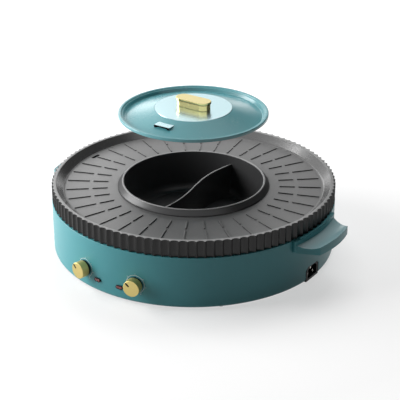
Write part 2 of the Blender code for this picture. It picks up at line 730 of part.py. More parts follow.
def lid():
    """The pressed lid with its rolled rim and steam louvre, its polished disc and its oval knob."""
    top = LID_SEAT + LID_RIM_RISE
    low = LID_SEAT - LID_SKIRT
    plug = LID_GUTTER_RADIUS + LID_WALL
    hole = GRIP_SCREW_RADIUS + RUNNING_GAP
    disc_edge = DISC_RADIUS + SEAT_GAP
    outline = [
        (LID_RADIUS - LID_WALL / 2, top),
        (LID_RADIUS, top - LID_WALL / 2),
        (LID_RADIUS, low),
        (LID_RADIUS - LID_WALL, low),
        (LID_RADIUS - LID_WALL, LID_SEAT),
        (plug + LID_BEAD_RISE, LID_SEAT),
        (plug, LID_GUTTER),
        (LID_GUTTER_RADIUS - LID_WALL / 2, LID_GUTTER - LID_WALL),
        (disc_edge + LID_WALL, LID_UNDER + DISC_RECESS - LID_WALL / 2),
        (disc_edge - LID_WALL, LID_UNDER),
        (hole, LID_UNDER),
        (hole, LID_FLAT - DISC_RECESS),
        (disc_edge, LID_FLAT - DISC_RECESS),
        (disc_edge, LID_FLAT),
        (LID_GUTTER_RADIUS, LID_GUTTER),
        (LID_BEAD_RADIUS - LID_WALL, LID_SEAT + LID_BEAD_RISE),
        (LID_BEAD_RADIUS, LID_SEAT + LID_BEAD_RISE),
        (LID_RADIUS - LID_RIM_WIDTH, top),
    ]
    shell = turned_part("lid_shell", outline, LID_STEPS, teal_gloss)

    slope = LID_DOME_RISE / (LID_GUTTER_RADIUS - disc_edge)
    back = STEAM_RADIUS - STEAM_DEPTH
    outer_dome = LID_GUTTER + slope * (LID_GUTTER_RADIUS - STEAM_RADIUS)
    back_dome = LID_GUTTER + slope * (LID_GUTTER_RADIUS - back)
    hood_top = outer_dome + STEAM_RISE
    hood_outline = [(-STEAM_RADIUS, outer_dome - LID_WALL / 2), (-back, back_dome - LID_WALL / 2),
                    (-back, back_dome), (-back - STEAM_SHEET, hood_top), (-STEAM_RADIUS, hood_top)]
    on_side = Matrix.Rotation(math.pi / 2, 4, "Z") @ Matrix.Rotation(math.pi / 2, 4, "X")
    hood_mesh = outline_mesh("steam_hood", hood_outline, -STEAM_LENGTH / 2, STEAM_LENGTH / 2)
    hood = add_cutter("steam_hood", hood_mesh)
    hood.matrix_world = on_side
    half = STEAM_LENGTH / 2 - STEAM_SHEET
    run = (STEAM_RISE - STEAM_SHEET - BITE / 2) / slope
    mouth_outline = [(-STEAM_RADIUS - OVERRUN, outer_dome - slope * OVERRUN + BITE / 2),
                     (-STEAM_RADIUS + run, hood_top - STEAM_SHEET),
                     (-STEAM_RADIUS - OVERRUN, hood_top - STEAM_SHEET)]
    mouth = add_cutter("steam_mouth", outline_mesh("steam_mouth", mouth_outline, -half, half))
    mouth.matrix_world = on_side
    combine(hood, mouth)
    combine(shell, hood, "UNION")
    slit = box_mesh("steam_slit", (-half, -back - 2 * STEAM_SLIT, LID_SEAT - OVERRUN),
                    (half, -back - STEAM_SLIT, hood_top - STEAM_SHEET))
    combine(shell, add_cutter("steam_slit", slit))

    disc_outline = [(DISC_RADIUS, DISC_BOTTOM + DISC_THICKNESS), (DISC_RADIUS, DISC_BOTTOM),
                    (hole, DISC_BOTTOM), (hole, DISC_BOTTOM + DISC_THICKNESS)]
    turned_part("lid_disc", disc_outline, LID_STEPS, pale_teal)

    block_outline = stadium(GRIP_LENGTH - 2 * GRIP_INSET, GRIP_WIDTH - 2 * GRIP_INSET, GRIP_END_STEPS)
    block = add_part("lid_knob_block", outline_mesh("lid_knob_block", block_outline, GRIP_BOTTOM,
                                                    GRIP_BOTTOM + GRIP_BLOCK_HEIGHT), gold)
    cap_outline = stadium(GRIP_LENGTH, GRIP_WIDTH, GRIP_END_STEPS)
    cap = add_part("lid_knob_cap", outline_mesh("lid_knob_cap", cap_outline, CAP_BOTTOM,
                                                CAP_BOTTOM + GRIP_CAP_HEIGHT), gold)
    screw_hole = add_cutter("grip_screw_hole", cylinder_mesh("grip_screw_hole", hole, GRIP_BOTTOM - OVERRUN,
                                                             CAP_BOTTOM + GRIP_SCREW_BITE + SEAT_GAP, 12))
    combine(block, screw_hole)
    combine(cap, screw_hole)
    seat = LID_UNDER - SEAT_GAP
    turned_part("lid_knob_screw", headed_screw(GRIP_SCREW_RADIUS, CAP_BOTTOM + GRIP_SCREW_BITE - seat,
                                               GRIP_SCREW_HEAD_RADIUS, GRIP_SCREW_HEAD_HEIGHT, seat),
                12, steel, closed=False)


def rounded_tip():
    """The handle's shelf seen from above: slanting sides, round corners and a bowed outer edge."""
    tip = BODY_RADIUS + HANDLE_REACH
    bow_middle = tip - HANDLE_TIP_CURVE
    corner_x = bow_middle + math.sqrt(HANDLE_TIP_CURVE ** 2 - HANDLE_TIP_HALF ** 2)
    root_x = math.sqrt(BODY_RADIUS ** 2 - HANDLE_ROOT_HALF ** 2)
    slant = math.atan2(HANDLE_ROOT_HALF - HANDLE_TIP_HALF, corner_x - root_x)
    swing = math.asin(HANDLE_TIP_HALF / HANDLE_TIP_CURVE)
    bow_turn = swing - HANDLE_CORNER / HANDLE_TIP_CURVE
    centre_reach = HANDLE_TIP_CURVE - HANDLE_CORNER
    centre = (bow_middle + centre_reach * math.cos(bow_turn), centre_reach * math.sin(bow_turn))
    upper = arc((bow_middle, 0), HANDLE_TIP_CURVE, 0, bow_turn, HANDLE_ARC_STEPS)
    upper += arc(centre, HANDLE_CORNER, bow_turn, math.pi / 2 - slant, HANDLE_CORNER_STEPS)[1:]
    upper.append((root_x, HANDLE_ROOT_HALF))
    inside = BODY_RADIUS - HANDLE_REACH
    lower = [(across, -along) for across, along in reversed(upper[1:])]
    return lower + upper + [(inside, HANDLE_ROOT_HALF), (inside, -HANDLE_ROOT_HALF)]


def handle(name, place):
    """One moulded handle: root flange, ridge above it, scooped shelf with a finger groove below."""
    shelf = outline_mesh(name, rounded_tip(), HANDLE_BOTTOM, HANDLE_TOP + SCOOP_DEPTH)
    body = add_part(name, shelf, teal_gloss, place)

    scoop_middle = HANDLE_TOP + math.sqrt(SCOOP_RADIUS ** 2 - SCOOP_INSIDE_TIP ** 2)
    scoop = arc((SCOOP_CIRCLE, scoop_middle), SCOOP_RADIUS, 0, -math.pi, HANDLE_CUT_STEPS)
    combine(body, turned_cutter(name + "_scoop", scoop, BODY_STEPS, parent=place))
    groove_middle = HANDLE_BOTTOM + GROOVE_DEPTH - GROOVE_RADIUS
    groove = arc((GROOVE_CIRCLE, groove_middle), GROOVE_RADIUS, math.pi, 0, HANDLE_CUT_STEPS)
    groove_tool = turned_cutter(name + "_groove", groove, BODY_STEPS, parent=place)
    low = (BODY_RADIUS - OVERRUN, -GROOVE_HALF, HANDLE_BOTTOM - GROOVE_RADIUS - OVERRUN)
    high = (BODY_RADIUS + HANDLE_REACH + OVERRUN, GROOVE_HALF, HANDLE_TOP)
    length = add_cutter(name + "_groove_length", box_mesh(name + "_groove_length", low, high), place)
    combine(groove_tool, length, "INTERSECT")
    combine(body, groove_tool)

    right = math.pi / 2
    half = math.asin(HANDLE_ROOT_HALF / BODY_RADIUS)
    flange = sector(BODY_RADIUS - OVERRUN, BODY_RADIUS + HANDLE_FLANGE_DEPTH, right, half, HANDLE_CUT_STEPS)
    flange_mesh = outline_mesh(name + "_flange", flange, BODY_TOP - HANDLE_FLANGE_HEIGHT, BODY_TOP)
    combine(body, add_cutter(name + "_flange", flange_mesh, place), "UNION")
    half = math.asin(RIDGE_HALF / BODY_RADIUS)
    inner = BODY_RADIUS + RIDGE_CLEARANCE
    ridge = sector(inner, inner + RIDGE_DEPTH, right, half, HANDLE_CUT_STEPS)
    ridge_mesh = outline_mesh(name + "_ridge", ridge, BODY_TOP - HANDLE_BELOW_TOP, BODY_TOP + RIDGE_RISE)
    combine(body, add_cutter(name + "_ridge", ridge_mesh, place), "UNION")
    wall = cylinder_mesh(name + "_wall", BODY_RADIUS + SEAT_GAP, HANDLE_BOTTOM - OVERRUN, BODY_TOP + OVERRUN,
                         BODY_STEPS)
    combine(body, add_cutter(name + "_wall", wall, place))

    holes = bmesh.new()
    height = BODY_TOP - HANDLE_SCREW_BELOW_TOP
    seat = -BODY_WALL - SEAT_GAP
    shank = BODY_WALL + HANDLE_SCREW_BITE
    outline = headed_screw(SCREW_SHANK_RADIUS, shank, SCREW_HEAD_RADIUS, SCREW_HEAD_HEIGHT, seat)
    for end, label in ((-1, "_screw_a"), (1, "_screw_b")):
        screw_place = outward(right + end * HANDLE_SCREW_ANGLE, BODY_RADIUS, height)
        add_cylinder(holes, SCREW_SHANK_RADIUS + RUNNING_GAP, -OVERRUN, HANDLE_SCREW_BITE + SEAT_GAP, 8,
                     screw_place)
        screw = turned_part(name + label, outline, 8, steel, closed=False)
        screw.matrix_world = place.matrix_world @ screw_place
    combine(body, add_cutter(name + "_screw_holes", mesh_of(name + "_screw_holes", holes), place))


def control(side, angle):
    """One knob with its pointer and shaft, and the bezel, nut and thermostat that carry it."""
    place = add_empty("control_" + side, outward(angle, BODY_RADIUS, KNOB_HEIGHT))
    bezel_top = SEAT_GAP + BEZEL_HEIGHT
    floor_top = SEAT_GAP + BEZEL_FLOOR
    bore = BUSHING_RADIUS + RUNNING_GAP
    recess = NUT_RADIUS + RUNNING_GAP
    turned_part("knob_bezel_" + side, [(BEZEL_RADIUS, bezel_top), (BEZEL_RADIUS, SEAT_GAP), (bore, SEAT_GAP),
                                       (bore, floor_top), (recess, floor_top), (recess, bezel_top)],
                KNOB_STEPS, black, parent=place)
    nut_bottom = floor_top + SEAT_GAP
    nut = add_part("thermostat_nut_" + side, cylinder_mesh("thermostat_nut_" + side, NUT_RADIUS, nut_bottom,
                                                           nut_bottom + NUT_HEIGHT, 6), steel, place)
    nut_hole = add_cutter("nut_hole_" + side, cylinder_mesh("nut_hole_" + side, bore, -OVERRUN,
                                                            bezel_top + OVERRUN, 12), place)
    combine(nut, nut_hole)

    front = behind_wall(THERMOSTAT_WIDTH / 2) - BODY_RADIUS
    back = front - THERMOSTAT_DEPTH
    half_width = THERMOSTAT_WIDTH / 2
    half_height = THERMOSTAT_HEIGHT / 2
    body = add_part("thermostat_" + side, box_mesh("thermostat_" + side, (-half_width, -half_height, back),
                                                   (half_width, half_height, front)), ceramic, place)
    extras = bmesh.new()
    add_cylinder(extras, BUSHING_RADIUS, front - OVERRUN, nut_bottom + NUT_HEIGHT, 12)
    for across in (-TAB_SPACING / 2, TAB_SPACING / 2):
        add_box(extras, (across - TAB_THICKNESS / 2, -TAB_HEIGHT / 2, back - TAB_LENGTH),
                (across + TAB_THICKNESS / 2, TAB_HEIGHT / 2, back + OVERRUN))
    combine(body, add_cutter("bushing_" + side, mesh_of("bushing_" + side, extras), place), "UNION")
    shaft_back = front - SHAFT_IN_BODY
    bore_mesh = cylinder_mesh("shaft_bore_" + side, SHAFT_RADIUS + RUNNING_GAP, shaft_back - SEAT_GAP,
                              bezel_top + OVERRUN, 12)
    combine(body, add_cutter("shaft_bore_" + side, bore_mesh, place))

    knob_back = bezel_top + SEAT_GAP
    knob_front = knob_back + KNOB_LENGTH
    shaft_front = knob_back + SHAFT_IN_KNOB
    add_part("thermostat_shaft_" + side, cylinder_mesh("thermostat_shaft_" + side, SHAFT_RADIUS, shaft_back,
                                                       shaft_front, 12), steel, place)
    shaft_hole = SHAFT_RADIUS + SEAT_GAP
    knob = turned_part("knob_" + side, [(0, knob_front), (KNOB_RADIUS - KNOB_EDGE, knob_front),
                                        (KNOB_RADIUS, knob_front - KNOB_EDGE), (KNOB_RADIUS, knob_back),
                                        (shaft_hole, knob_back), (shaft_hole, shaft_front + SEAT_GAP),
                                        (0, shaft_front + SEAT_GAP)],
                       KNOB_STEPS, gold, closed=False, parent=place)
    top = KNOB_RADIUS - POINTER_EDGE_GAP
    slot_low = (-POINTER_WIDTH / 2 - SEAT_GAP, top - POINTER_LENGTH - SEAT_GAP,
                knob_front - POINTER_DEPTH - SEAT_GAP)
    slot_high = (POINTER_WIDTH / 2 + SEAT_GAP, top + SEAT_GAP, knob_front + OVERRUN)
    slot = add_cutter("pointer_slot_" + side, box_mesh("pointer_slot_" + side, slot_low, slot_high), place)
    slot.rotation_euler = (0, 0, POINTER_TURN)
    combine(knob, slot)
    pointer = add_part("knob_pointer_" + side,
                       box_mesh("knob_pointer_" + side, (-POINTER_WIDTH / 2, top - POINTER_LENGTH,
                                                         knob_front - POINTER_DEPTH),
                                (POINTER_WIDTH / 2, top, knob_front)), black, place)
    pointer.rotation_euler = (0, 0, POINTER_TURN)


def indicator(side, angle):
    """One indicator light: an oval frame with a sleeve through the wall, and its red lens."""
    place = add_empty("indicator_" + side, outward(angle, BODY_RADIUS, LIGHT_HEIGHT))
    front = SEAT_GAP + LIGHT_PROUD
    surround = stadium(LIGHT_WIDTH, LIGHT_TALL, LENS_END_STEPS)
    frame = add_part("indicator_bezel_" + side,
                     outline_mesh("indicator_bezel_" + side, surround, SEAT_GAP, front), black, place)
    half_width = LIGHT_WIDTH / 2 - LIGHT_FRAME - RUNNING_GAP
    half_height = LIGHT_TALL / 2 - LIGHT_FRAME - RUNNING_GAP
    sleeve = box_mesh("indicator_sleeve_" + side, (-half_width, -half_height, -LIGHT_SLEEVE),
                      (half_width, half_height, SEAT_GAP + BITE / 2))
    combine(frame, add_cutter("indicator_sleeve_" + side, sleeve, place), "UNION")
    window = stadium(LIGHT_WIDTH - 2 * LIGHT_FRAME, LIGHT_TALL - 2 * LIGHT_FRAME, LENS_END_STEPS)
    pocket = outline_mesh("indicator_pocket_" + side, window, front - LENS_DEPTH - SEAT_GAP, front + OVERRUN)
    combine(frame, add_cutter("indicator_pocket_" + side, pocket, place))
    edge = 2 * LIGHT_FRAME + 2 * SEAT_GAP
    pane = stadium(LIGHT_WIDTH - edge, LIGHT_TALL - edge, LENS_END_STEPS)
    add_part("indicator_lens_" + side,
             outline_mesh("indicator_lens_" + side, pane, front - LENS_DEPTH, front), red, place)


def power_inlet():
    """The mains inlet: a black housing snapped into the wall's notch, with three pins."""
    face = -INLET_SET_BACK
    behind = behind_wall(abs(INLET_ACROSS) + INLET_WIDTH / 2 + INLET_FLANGE_EXTRA) - BODY_RADIUS
    socket = SOCKET_MIDDLE - INLET_MIDDLE
    plate = chamfered(INLET_WIDTH, INLET_HEIGHT, INLET_CHAMFER)
    housing = add_part("inlet_housing", outline_mesh("inlet_housing", plate, behind - BITE, face), black,
                       inlet_place)
    low = COVER_TOP + SEAT_GAP - INLET_MIDDLE
    high = INLET_HEIGHT / 2
    inner = chamfered(SOCKET_WIDTH + 2 * SOCKET_WALL, high - low, SOCKET_CHAMFER, (high + low) / 2)
    back = -INLET_SET_BACK - INLET_DEPTH
    catch_half = INLET_WIDTH / 2 + INLET_FLANGE_EXTRA
    catch_low = (-catch_half, BODY_LIFT + EDGE_ROUND - INLET_MIDDLE, behind - INLET_FLANGE_THICKNESS)
    catch_high = (catch_half, high + INLET_FLANGE_EXTRA, behind)
    mouth = chamfered(SOCKET_WIDTH, SOCKET_HEIGHT, SOCKET_CHAMFER, socket)
    tools = (
        ("inlet_body", outline_mesh("inlet_body", inner, back, behind), "UNION"),
        ("inlet_catch", box_mesh("inlet_catch", catch_low, catch_high), "UNION"),
        ("inlet_socket", outline_mesh("inlet_socket", mouth, face - SOCKET_DEPTH, OVERRUN), "DIFFERENCE"),
    )
    for name, mesh, operation in tools:
        combine(housing, add_cutter(name, mesh, inlet_place), operation)

    holes = bmesh.new()
    pins = {"earth": (0, socket + PIN_RISE), "live": (-PIN_SPACING / 2, socket - PIN_RISE),
            "neutral": (PIN_SPACING / 2, socket - PIN_RISE)}
    for name, (across, up) in pins.items():
        low = (across - PIN_THICK / 2, up - PIN_TALL / 2, back - PIN_TAIL)
        high = (across + PIN_THICK / 2, up + PIN_TALL / 2, face - PIN_SET_BACK)
        add_part("inlet_pin_" + name, box_mesh("inlet_pin_" + name, low, high), steel, inlet_place)
        grown = Vector((SEAT_GAP, SEAT_GAP, OVERRUN))
        add_box(holes, Vector(low) - grown, Vector(high) + grown)
    combine(housing, add_cutter("pin_holes", mesh_of("pin_holes", holes), inlet_place))


def heat_shield():
    """The pressed steel tray under the pan, stepped down to a well for the pot."""
    wall = SHIELD_RADIUS - SHIELD_SHEET
    well = WELL_RADIUS - SHIELD_SHEET
    outline = [
        (SHIELD_FLANGE, SHIELD_TOP + SHIELD_SHEET),
        (SHIELD_FLANGE, SHIELD_TOP),
        (SHIELD_RADIUS, SHIELD_TOP),
        (SHIELD_RADIUS, SHIELD_FLOOR),
        (WELL_RADIUS, SHIELD_FLOOR),
        (WELL_RADIUS, WELL_BOTTOM),
        (WELL_HOLE_RADIUS, WELL_BOTTOM),
        (WELL_HOLE_RADIUS, WELL_BOTTOM + SHIELD_SHEET),
        (well, WELL_BOTTOM + SHIELD_SHEET),
        (well, SHIELD_FLOOR + SHIELD_SHEET),
        (wall, SHIELD_FLOOR + SHIELD_SHEET),
        (wall, SHIELD_TOP + SHIELD_SHEET),
    ]
    shield = turned_part("heat_shield", outline, SHIELD_STEPS, steel)
    holes = bmesh.new()
    for end in (-1, 1):
        across, along = around(ELEMENT_CIRCLE, ELEMENT_MIDDLE + end * ELEMENT_GAP_ANGLE / 2)
        add_cylinder(holes, ELEMENT_RADIUS + 2 * RUNNING_GAP, SHIELD_FLOOR - OVERRUN,
                     SHIELD_FLOOR + SHIELD_SHEET + OVERRUN, 8, Matrix.Translation((across, along, 0)))
    combine(shield, add_cutter("element_leg_holes", mesh_of("element_leg_holes", holes)))


def rod(name, points, radius, mat, resolution):
    """A round rod or wire along a list of points."""
    curve = bpy.data.curves.new(name, "CURVE")
    curve.dimensions = "3D"
    curve.bevel_depth = radius
    curve.bevel_resolution = resolution
    curve.use_fill_caps = True
    line = curve.splines.new("POLY")
    line.points.add(len(points) - 1)
    for point, place in zip(line.points, points):
        point.co = (*place, 1)
    return add_part(name, curve, mat)


def grill_heater():
    """The sheathed ring under the plate, both ends bent down through the shield, and its two clips."""
    start = ELEMENT_MIDDLE + ELEMENT_GAP_ANGLE / 2
    sweep = FULL_TURN - ELEMENT_GAP_ANGLE
    bend_angle = ELEMENT_BEND / ELEMENT_CIRCLE
    first = [(*around(ELEMENT_CIRCLE, start), SHIELD_FLOOR - ELEMENT_LEG)]
    last = [(*around(ELEMENT_CIRCLE, start + sweep), SHIELD_FLOOR - ELEMENT_LEG)]
    for step in range(ELEMENT_BEND_POINTS):
        lean = math.pi / 2 * step / ELEMENT_BEND_POINTS
        height = ELEMENT_HEIGHT - ELEMENT_BEND * (1 - math.sin(lean))
        offset = bend_angle * (1 - math.cos(lean))
        first.append((*around(ELEMENT_CIRCLE, start + offset), height))
        last.append((*around(ELEMENT_CIRCLE, start + sweep - offset), height))
    ring = []
    for step in range(ELEMENT_POINTS + 1):
        angle = start + bend_angle + (sweep - 2 * bend_angle) * step / ELEMENT_POINTS
        ring.append((*around(ELEMENT_CIRCLE, angle), ELEMENT_HEIGHT))
    rod("grill_heater", first + ring + last[::-1], ELEMENT_RADIUS, steel, 1)

    cradle = ELEMENT_RADIUS + CLIP_CLEARANCE
    stem = CLIP_SHEET / 2
    join = math.asin(stem / (cradle + CLIP_SHEET))
    centre = (0, ELEMENT_HEIGHT)
    outside_low = arc(centre, cradle + CLIP_SHEET, -math.pi, -math.pi / 2 - join, CLIP_ARC_STEPS)
    outside_high = arc(centre, cradle + CLIP_SHEET, -math.pi / 2 + join, 0, CLIP_ARC_STEPS)
    inside = arc(centre, cradle, 0, -math.pi, 2 * CLIP_ARC_STEPS)
    foot_top = SHIELD_SEAT + CLIP_SHEET
    outline = outside_low + [(-stem, foot_top), (-CLIP_FOOT / 2, foot_top), (-CLIP_FOOT / 2, SHIELD_SEAT),
                             (CLIP_FOOT / 2, SHIELD_SEAT), (CLIP_FOOT / 2, foot_top), (stem, foot_top)]
    outline += outside_high + inside
    for name, third in (("heater_clip_left", -1), ("heater_clip_rear", 1)):
        clip = add_part(name, outline_mesh(name, outline, -CLIP_WIDTH / 2, CLIP_WIDTH / 2), steel)
        angle = ELEMENT_MIDDLE + third * FULL_TURN / 3
        facing = Matrix.Rotation(angle + math.pi / 2, 4, "Z") @ Matrix.Rotation(math.pi / 2, 4, "X")
        clip.matrix_world = Matrix.Translation((*around(ELEMENT_CIRCLE, angle), 0)) @ facing


def pot_heater():
    """The cast hot plate in the well, with the two studs that its leads end on."""
    outline = [
        (0, HOT_PLATE_TOP),
        (HOT_PLATE_RADIUS, HOT_PLATE_TOP),
        (HOT_PLATE_RADIUS, HOT_PLATE_TOP - HOT_PLATE_LIP),
        (HOT_PLATE_FOOT, HOT_PLATE_TOP - HOT_PLATE_LIP),
        (HOT_PLATE_FOOT, HOT_PLATE_BOTTOM),
        (0, HOT_PLATE_BOTTOM),
    ]
    plate = turned_part("pot_heater", outline, HOT_PLATE_STEPS, cast_aluminium, closed=False)
    studs = bmesh.new()
    for end in (-1, 1):
        add_cylinder(studs, STUD_RADIUS, HOT_PLATE_BOTTOM - STUD_LENGTH, HOT_PLATE_BOTTOM + OVERRUN, 8,
                     Matrix.Translation((end * STUD_SPACING / 2, 0, 0)))
    combine(plate, add_cutter("heater_studs", mesh_of("heater_studs", studs)), "UNION")


def drip_cup():
    """The pressed cup on the shield, under the drain slot."""
    outer = (SHIELD_RADIUS - SHIELD_SHEET) * math.cos(math.pi / SHIELD_STEPS) - SEAT_GAP
    left = -math.pi / 2
    inner = outer - CUP_WIDTH
    plan = sector(inner, outer, left, CUP_HALF_ANGLE, CUP_ARC_STEPS)
    cup = add_part("drip_cup", outline_mesh("drip_cup", plan, SHIELD_SEAT, SHIELD_SEAT + CUP_HEIGHT), steel)
    narrow = CUP_HALF_ANGLE - CUP_WALL / inner
    hollow = sector(inner + CUP_WALL, outer - CUP_WALL, left, narrow, CUP_ARC_STEPS)
    combine(cup, add_cutter("cup_hollow", outline_mesh("cup_hollow", hollow, SHIELD_SEAT + CUP_WALL,
                                                       SHIELD_SEAT + CUP_HEIGHT + OVERRUN)))


def spot(angle, radius, side, height):
    """A point at a radius, moved sideways along the circle."""
    across, along = around(radius, angle)
    return Vector((across + side * math.cos(angle), along + side * math.sin(angle), height))


def route(stops):
    """Points read from a smooth curve through the stops, with a straight run at each end."""
    spans = len(stops) - 3
    points = [stops[0]]
    for index in range(LEAD_POINTS):
        where = index * spans / (LEAD_POINTS - 1)
        span = min(int(where), spans - 1)
        t = where - span
        a, b, c, d = stops[span:span + 4]
        points.append((b * 2 + (c - a) * t + (a * 2 - b * 5 + c * 4 - d) * t * t
                       + (b * 3 - a - c * 3 + d) * t * t * t) / 2)
    return points + [stops[-1]]


def wiring():
    """The terminal block on the cover, the thermal fuse and the leads between the pieces."""
    seat = COVER_TOP + SEAT_GAP
    block = box_mesh("terminal_block", (-BLOCK_LENGTH / 2, -BLOCK_WIDTH / 2, seat),
                     (BLOCK_LENGTH / 2, BLOCK_WIDTH / 2, seat + BLOCK_HEIGHT))
    carrier = add_part("terminal_block", block, ceramic)
    turned = Matrix.Rotation(BLOCK_ANGLE, 4, "Z")
    carrier.matrix_world = Matrix.Translation((*around(BLOCK_CIRCLE, BLOCK_ANGLE), 0)) @ turned

    inner_face = BLOCK_CIRCLE - BLOCK_WIDTH / 2 - SEAT_GAP
    outer_face = BLOCK_CIRCLE + BLOCK_WIDTH / 2 + SEAT_GAP
    end_face = -BLOCK_LENGTH / 2 - SEAT_GAP
    level = LEAD_LEVEL
    fuse_end = inner_face - FUSE_LENGTH
    fuse = add_part("thermal_fuse", cylinder_mesh("thermal_fuse", FUSE_RADIUS, 0, FUSE_LENGTH, 10), steel)
    inwards = Matrix.Rotation(BLOCK_ANGLE, 4, "Z") @ Matrix.Rotation(math.pi / 2, 4, "X")
    fuse.matrix_world = Matrix.Translation(spot(BLOCK_ANGLE, fuse_end, 0, level)) @ inwards

    tail = BODY_RADIUS - INLET_SET_BACK - INLET_DEPTH - PIN_TAIL - SEAT_GAP
    live = Vector((tail, INLET_ACROSS - PIN_SPACING / 2, SOCKET_MIDDLE - PIN_RISE))
    neutral = Vector((tail, INLET_ACROSS + PIN_SPACING / 2, SOCKET_MIDDLE - PIN_RISE))
    earth = Vector((tail, INLET_ACROSS, SOCKET_MIDDLE + PIN_RISE))
    inward = Vector((-LEAD_END, 0, 0))
    tab_end = behind_wall(THERMOSTAT_WIDTH / 2) - THERMOSTAT_DEPTH - TAB_LENGTH - SEAT_GAP
    stud_end = HOT_PLATE_BOTTOM - STUD_LENGTH - SEAT_GAP
    leg_end = SHIELD_FLOOR - ELEMENT_LEG - SEAT_GAP
    half_tab = TAB_SPACING / 2
    half_stud = STUD_SPACING / 2
    half_gap = ELEMENT_GAP_ANGLE / 2
    clear = tab_end - LEAD_END
    down = Vector((0, 0, -LEAD_END / 2))
    mid_angle = (KNOB_ANGLE + BLOCK_ANGLE) / 2
    left_stud = Vector((-half_stud, 0, stud_end))
    right_stud = Vector((half_stud, 0, stud_end))

    leads = {
        "lead_live": [live, live + inward, spot(BLOCK_ANGLE, outer_face + 2 * LEAD_END, 0, level),
                      spot(BLOCK_ANGLE, outer_face, 0, level)],
        "lead_neutral": [neutral, neutral + 2 * inward,
                         spot(BLOCK_ANGLE, outer_face + LEAD_END, BLOCK_POLE_SPACING, level),
                         spot(BLOCK_ANGLE, outer_face, BLOCK_POLE_SPACING, level)],
        "lead_earth": [earth, earth + inward,
                       Vector((tail - 3 * LEAD_END, INLET_ACROSS, COVER_TOP + LEAD_END)),
                       Vector((tail - 3 * LEAD_END, INLET_ACROSS, COVER_TOP + SEAT_GAP))],
        "lead_left_feed": [spot(BLOCK_ANGLE, inner_face, -BLOCK_POLE_SPACING, level),
                           spot(BLOCK_ANGLE, inner_face - LEAD_END, -BLOCK_POLE_SPACING, level),
                           spot(mid_angle, WELL_RADIUS + LEAD_END, 0, level),
                           spot(0, WELL_RADIUS + 2 * LEAD_END, 0, KNOB_HEIGHT / 2),
                           spot(-KNOB_ANGLE, clear, half_tab, KNOB_HEIGHT),
                           spot(-KNOB_ANGLE, tab_end, half_tab, KNOB_HEIGHT)],
        "lead_right_feed": [spot(BLOCK_ANGLE, BLOCK_CIRCLE - BLOCK_WIDTH / 4, end_face, level),
                            spot(BLOCK_ANGLE, BLOCK_CIRCLE - BLOCK_WIDTH / 4, end_face - LEAD_END, level),
                            spot(mid_angle, clear - LEAD_END, 0, level),
                            spot(KNOB_ANGLE, clear, -half_tab, KNOB_HEIGHT),
                            spot(KNOB_ANGLE, tab_end, -half_tab, KNOB_HEIGHT)],
        "lead_grill_heater": [spot(KNOB_ANGLE, tab_end, half_tab, KNOB_HEIGHT),
                              spot(KNOB_ANGLE, clear, half_tab, KNOB_HEIGHT),
                              spot(ELEMENT_MIDDLE - half_gap, ELEMENT_CIRCLE, 0, leg_end - LEAD_END),
                              spot(ELEMENT_MIDDLE - half_gap, ELEMENT_CIRCLE, 0, leg_end)],
        "lead_grill_return": [spot(ELEMENT_MIDDLE + half_gap, ELEMENT_CIRCLE, 0, leg_end),
                              spot(ELEMENT_MIDDLE + half_gap, ELEMENT_CIRCLE, 0, leg_end - LEAD_END),
                              spot(BLOCK_ANGLE, BLOCK_CIRCLE + BLOCK_WIDTH / 4, end_face - LEAD_END, level),
                              spot(BLOCK_ANGLE, BLOCK_CIRCLE + BLOCK_WIDTH / 4, end_face, level)],
        "lead_pot_heater": [spot(-KNOB_ANGLE, tab_end, -half_tab, KNOB_HEIGHT),
                            spot(-KNOB_ANGLE, clear, -half_tab, KNOB_HEIGHT),
                            spot(-KNOB_ANGLE, WELL_RADIUS, -half_tab, level),
                            left_stud + down, left_stud],
        "lead_pot_return": [right_stud, right_stud + down,
                            spot(BLOCK_ANGLE, fuse_end - 2 * LEAD_END, 0, level),
                            spot(BLOCK_ANGLE, fuse_end - SEAT_GAP, 0, level)],
    }
    for name, stops in leads.items():
        rod(name, route(stops), LEAD_RADIUS, sheath, 1)


facing_right = Matrix.Rotation(math.pi / 2, 4, "Z") @ Matrix.Rotation(math.pi / 2, 4, "X")
inlet_middle = Matrix.Translation((BODY_RADIUS, INLET_ACROSS, INLET_MIDDLE))
inlet_place = add_empty("inlet_place", inlet_middle @ facing_right)
base_shell()
bottom_parts()
grill_pan()
pot()
lid()
handle("handle_right", add_empty("right_side", Matrix.Identity(4)))
handle("handle_left", add_empty("left_side", Matrix.Rotation(math.pi, 4, "Z")))
control("left", -KNOB_ANGLE)
control("right", KNOB_ANGLE)
indicator("left", -LIGHT_ANGLE)
indicator("right", LIGHT_ANGLE)
power_inlet()
heat_shield()
grill_heater()
pot_heater()
drip_cup()
wiring()
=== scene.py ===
import math

import bmesh
import bpy
from mathutils import Matrix, Vector


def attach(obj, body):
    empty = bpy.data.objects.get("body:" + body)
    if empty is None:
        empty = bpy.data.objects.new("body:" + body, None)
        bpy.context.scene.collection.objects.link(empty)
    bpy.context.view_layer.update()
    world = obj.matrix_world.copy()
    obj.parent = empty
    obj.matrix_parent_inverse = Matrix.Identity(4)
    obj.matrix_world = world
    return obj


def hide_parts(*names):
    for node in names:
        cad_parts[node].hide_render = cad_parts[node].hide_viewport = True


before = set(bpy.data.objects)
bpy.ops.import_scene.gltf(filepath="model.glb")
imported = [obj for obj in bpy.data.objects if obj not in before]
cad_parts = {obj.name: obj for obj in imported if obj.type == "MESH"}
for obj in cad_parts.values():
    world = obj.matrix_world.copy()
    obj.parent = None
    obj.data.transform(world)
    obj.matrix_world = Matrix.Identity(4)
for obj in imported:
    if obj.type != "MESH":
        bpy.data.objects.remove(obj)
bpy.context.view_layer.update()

# Camera. It stands 34 degrees to the right of the dials and looks down at the cooker through a
# long lens, from a point worked out from the ellipses of the round body.
CAMERA_TURN = math.radians(34)
CAMERA_TILT = math.radians(25.37)
CAMERA_DISTANCE = 1.748
